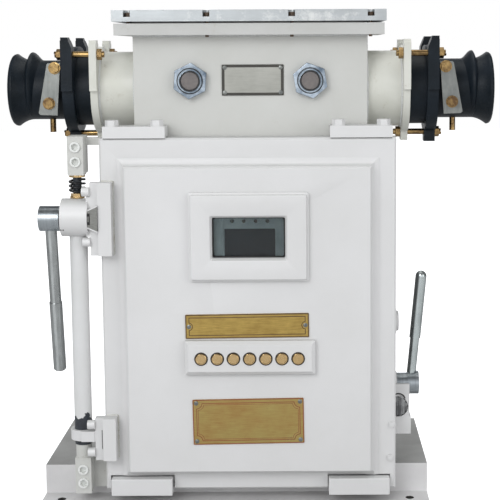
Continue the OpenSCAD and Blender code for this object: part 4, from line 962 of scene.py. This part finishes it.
# %% [markdown]
# ## Small details
# Each control entry has a plated collar ring whose grooves are black as painted shade, and three screws
# end under the lid's rim. Beside the eccentric's drum a machined plate in a painted skirt has a slot, black
# behind as painted shade, where a pin shows how far the eccentric has turned. Dark strips paint the shadow
# in the open seams and a slit, black domes paint the shade in two pin holes, and a black ring hangs over
# the stop button.

# %% Rings and screw ends
# The rings in the second material are black, painted shade in the collar's grooves.
ring_profiles = (([(0, 16.9), (0, 20.2), (2.4, 20.1), (3.4, 19.2), (3.4, 17.7), (2.8, 16.9), (0, 16.9)], 0),
                 ([(2.9, 14.9), (3.3, 14.9), (3.3, 16.8), (2.9, 16.8), (2.9, 14.9)], 1),
                 ([(0.1, 20.3), (0.4, 20.3), (0.4, 21.6), (0.1, 21.6), (0.1, 20.3)], 1))


def build_rings(bm, edge):
    for profile, slot in ring_profiles:
        add_turned(bm, profile, at(BOX_X + edge * 98.5, 33.2, 707), FACING, slot=slot)


for edge, side in SIDES:
    make_piece(f"control_gland_{side}.rings", lambda bm: build_rings(bm, edge), [gland_chrome, black_rubber],
               "starter", sharp=30)


def build_bolt_ends(bm):
    profile = [(-0.5, 0), (-0.5, 3), (2.6, 3), (3.2, 2.5), (3.2, 0)]
    for x in (-69, 69, 197):
        add_turned(bm, profile, at(BOX_X + x, 31.25, 781.4), (0, 0, -1), 24)


make_piece("lid_bolts.ends", build_bolt_ends, [rusty_iron], "starter", sharp=30)

# %% Cover with its sight slot
cover_face = (-261.0, 11.2, -241.6, 20.2)
sight_slot = (-259.2, 9.2, -253.4, 9.6)
sight_pin = (-257.4, 4.5, -255.2, 4.5)


def wedge(shape, y):
    """Loop at depth y of a shape from its left end, its half height there, its right end and half height."""
    left, left_half, right, right_half = shape
    ends = (left, left_half), (left, -left_half), (right, -right_half), (right, right_half)
    return [at(x, y, DRUM_Z + half) for x, half in ends]


def build_cover(bm):
    """A wedge-shaped skirt, open towards the drum, with a slotted face a little behind its edge."""
    skirt = (-261.6, 11), (-261.6, 13), (-241.6, 22), (-241.6, 20)
    for flip in (1, -1):
        add_loft(bm, [[at(x, y, DRUM_Z + flip * z) for x, z in skirt] for y in (-16, -26.4)])
    add_loft(bm, [wedge(cover_face, -26), wedge(cover_face, -25.2), wedge(sight_slot, -25.2),
                  wedge(sight_slot, -26)], True, 1)
    # A black sheet behind the slot paints the shade inside it.
    add_loft(bm, [wedge(sight_slot, -25.3), wedge(sight_slot, -25.1)], slot=2)
    add_loft(bm, [wedge(sight_pin, -25.4), wedge(sight_pin, -26.3)], slot=1)


make_piece("cam_housing.cover", build_cover, [white_paint, machined, black_rubber], sharp=30)

# %% Slit, seams, pin holes and button ring
hinge_slit = [(-244.2, -243.1, 104, 136)]
hook_seams = [(-234, -134, 615.2, 616.1), (134, 234, 615.2, 616.1)]
# A thin black strip paints the shadow in the gap beside the lower hinge's step.
make_piece("lower_hinge.slit", lambda bm: add_slabs(bm, hinge_slit, -15.95, -16.15), [black_rubber])
# Thin dark strips paint the shadow in the seams under the upper hooks.
make_piece("upper_hooks.seams", lambda bm: add_slabs(bm, hook_seams, 0.1, -0.25), [painted_gap_shade])
# Two black domes paint the shade inside the drum's pin holes.
pin_places = [at(x, -25.7, 471) for x in (-300.4, -296.6)]
grow(dome_tree, "cam_housing.pin_holes", "door", "white_paint", pin_places, radius=0.0013, rise=0.0009,
     material=black_rubber)


def build_hanger(bm, radius=11.4, wire=1.1):
    loops = []
    for i in range(25):
        a = radians(20 + 140 * i / 24)
        around = [j * tau / 10 for j in range(10)]
        loops.append([at(249 + (radius + wire * cos(b)) * cos(a), 44.4 + wire * sin(b),
                         166.4 + (radius + wire * cos(b)) * sin(a)) for b in around])
    add_loft(bm, loops)


make_piece("stop_button.ring", build_hanger, [black_rubber], "starter", sharp=40)

# %% [markdown]
# ## The lift spring and the studs
# The black coil rides with its seat. The studs of the cable entries show their thread past the nuts.

# %% Lift spring
spring = grow(coil_tree, "lift_spring.coil", body_of["lift_spring"], "spring_steel", [at(-278, 6, 528.9)],
              turns=3.2, radius=0.0121, height=0.0221, wire=0.0019, steps=32, aim=(0, 0, 0),
              material=black_spring)
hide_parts("lift_spring")
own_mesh(spring)

# %% Stud threads
stud_places = ((-68, 60), (68, 60), (0, -74))
for edge, side in SIDES:
    starts = [at(BOX_X + edge * 318.4, NOZZLE_Y + across, NOZZLE_Z + rise) for across, rise in stud_places]
    grow(coil_tree, f"stud_thread.{side}", "starter", "yellow_zinc", starts, turns=3.2, radius=0.0047,
         height=0.0036, wire=0.00055, steps=24, aim=(0, edge * pi / 2, 0), material=yellow_zinc)

# %% [markdown]
# ## Levers
# Both levers are bare steel. Their hubs were turned in the lathe, so the grain runs round them. The lift
# lever's grip is shorter here than in the CAD.

# %% Dress the levers and the hinge shaft
def lever_shape(centre, radius, cut=0, lean=0):
    """Gives the hub's faces the second material, and takes a length off the grip, all in millimetres."""
    def change(bm):
        middle = at(0, *centre)
        for face in bm.faces:
            if max((v.co - middle).yz.length for v in face.verts) < radius / 1000:
                face.material_index = 1
        along = Vector((0, sin(radians(lean)), -cos(radians(lean))))
        for vert in bm.verts:
            if cut and (vert.co - middle).dot(along) > 0.25:
                vert.co -= along * (cut / 1000)
    return change


lift_shape = lever_shape((-12.67, DRUM_Z), 20.9, cut=23, lean=9.4)
dress("lift_lever", lever_steel, 1.2, lift_shape).data.materials.append(hub_steel)
dress("switch_lever", streaked_steel, 1.2, lever_shape((70, 190.5), 19.9)).data.materials.append(hub_steel)
dress("hinge_shaft", shaft_paint, 0.6)

# %% [markdown]
# ## Floor, backdrop and light
# The floor is nearly white to the camera, so that the contact shadow shows on it, and grey to every other
# ray. The world is white where the camera sees it. Mirrored rays see a room that is darker to the sides
# and overhead, so that bare metal shows light and dark. Three broad lamps give soft light from the left
# front, the right and above.

# %% Stage and lamps
def choose(factor, otherwise, chosen):
    return place_beside("ShaderNodeMixShader", {0: factor, 1: otherwise, 2: chosen}).outputs[0]


floor_paint, tree, pale = new_material("white floor")
feed(pale, {"Base Color": rgba(0.92, 0.92, 0.92), "Roughness": 0.9, "Emission Color": rgba(1, 1, 1),
            "Emission Strength": 0.55})
plain = place_node(tree, "ShaderNodeBsdfDiffuse", {"Color": rgba(0.46, 0.46, 0.46)})
camera_ray = place_node(tree, "ShaderNodeLightPath").outputs["Is Camera Ray"]
either = choose(camera_ray, plain.outputs[0], pale.outputs[0])
feed(tree.nodes["Material Output"], {"Surface": either})
floor_mesh = bpy.data.meshes.new("floor")
floor_corners = [(x, y, -0.0005) for x, y in ((-9, -6), (9, -6), (9, 9), (-9, 9))]
floor_mesh.from_pydata(floor_corners, [], [(0, 1, 2, 3)])
floor_mesh.materials.append(floor_paint)
add_object("floor", floor_mesh)

world = bpy.data.worlds.new("white room")
scene.world = world
world.use_nodes = True
sky = world.node_tree
sky.nodes.clear()
direction = split(coords(sky)["Generated"])
overhead = times(direction["Z"], 1.0, True)
ahead = minus(minus(0.75, maths("ABSOLUTE", direction["X"])), overhead)
shine = plus(times(times(ahead, 3, True), 1.05), 0.13)
seen, lit, mirrored = [
    place_node(sky, "ShaderNodeBackground", {"Color": rgba(*colour), "Strength": strength}).outputs[0]
    for colour, strength in (((1, 1, 1), 1.0), ((0.96, 0.98, 1.0), 0.88), ((0.97, 0.98, 1.0), shine))]
path = place_node(sky, "ShaderNodeLightPath").outputs
glossy = choose(path["Is Glossy Ray"], lit, mirrored)
place_node(sky, "ShaderNodeOutputWorld", {"Surface": choose(path["Is Camera Ray"], glossy, seen)})


def area_lamp(name, place, size, watts, colour=(1, 1, 1), target=Vector((0, 0, 0.4))):
    data = bpy.data.lights.new(name, "AREA")
    data.shape = "RECTANGLE"
    data.size, data.size_y = size
    data.energy = watts
    data.color = colour
    lamp = add_object(name, data)
    lamp.location = place
    lamp.rotation_euler = (target - Vector(place)).to_track_quat("-Z", "Y").to_euler()


area_lamp("key", (-1.2, -2.4, 1.7), (1.4, 1.4), 27, (0.98, 0.99, 1.0))
area_lamp("fill", (2.0, -1.8, 1.0), (1.2, 1.6), 9)
area_lamp("top", (0.2, 0.3, 2.6), (1.8, 1.4), 13, (1.0, 0.99, 0.96))
scene.view_settings.view_transform = "Standard"
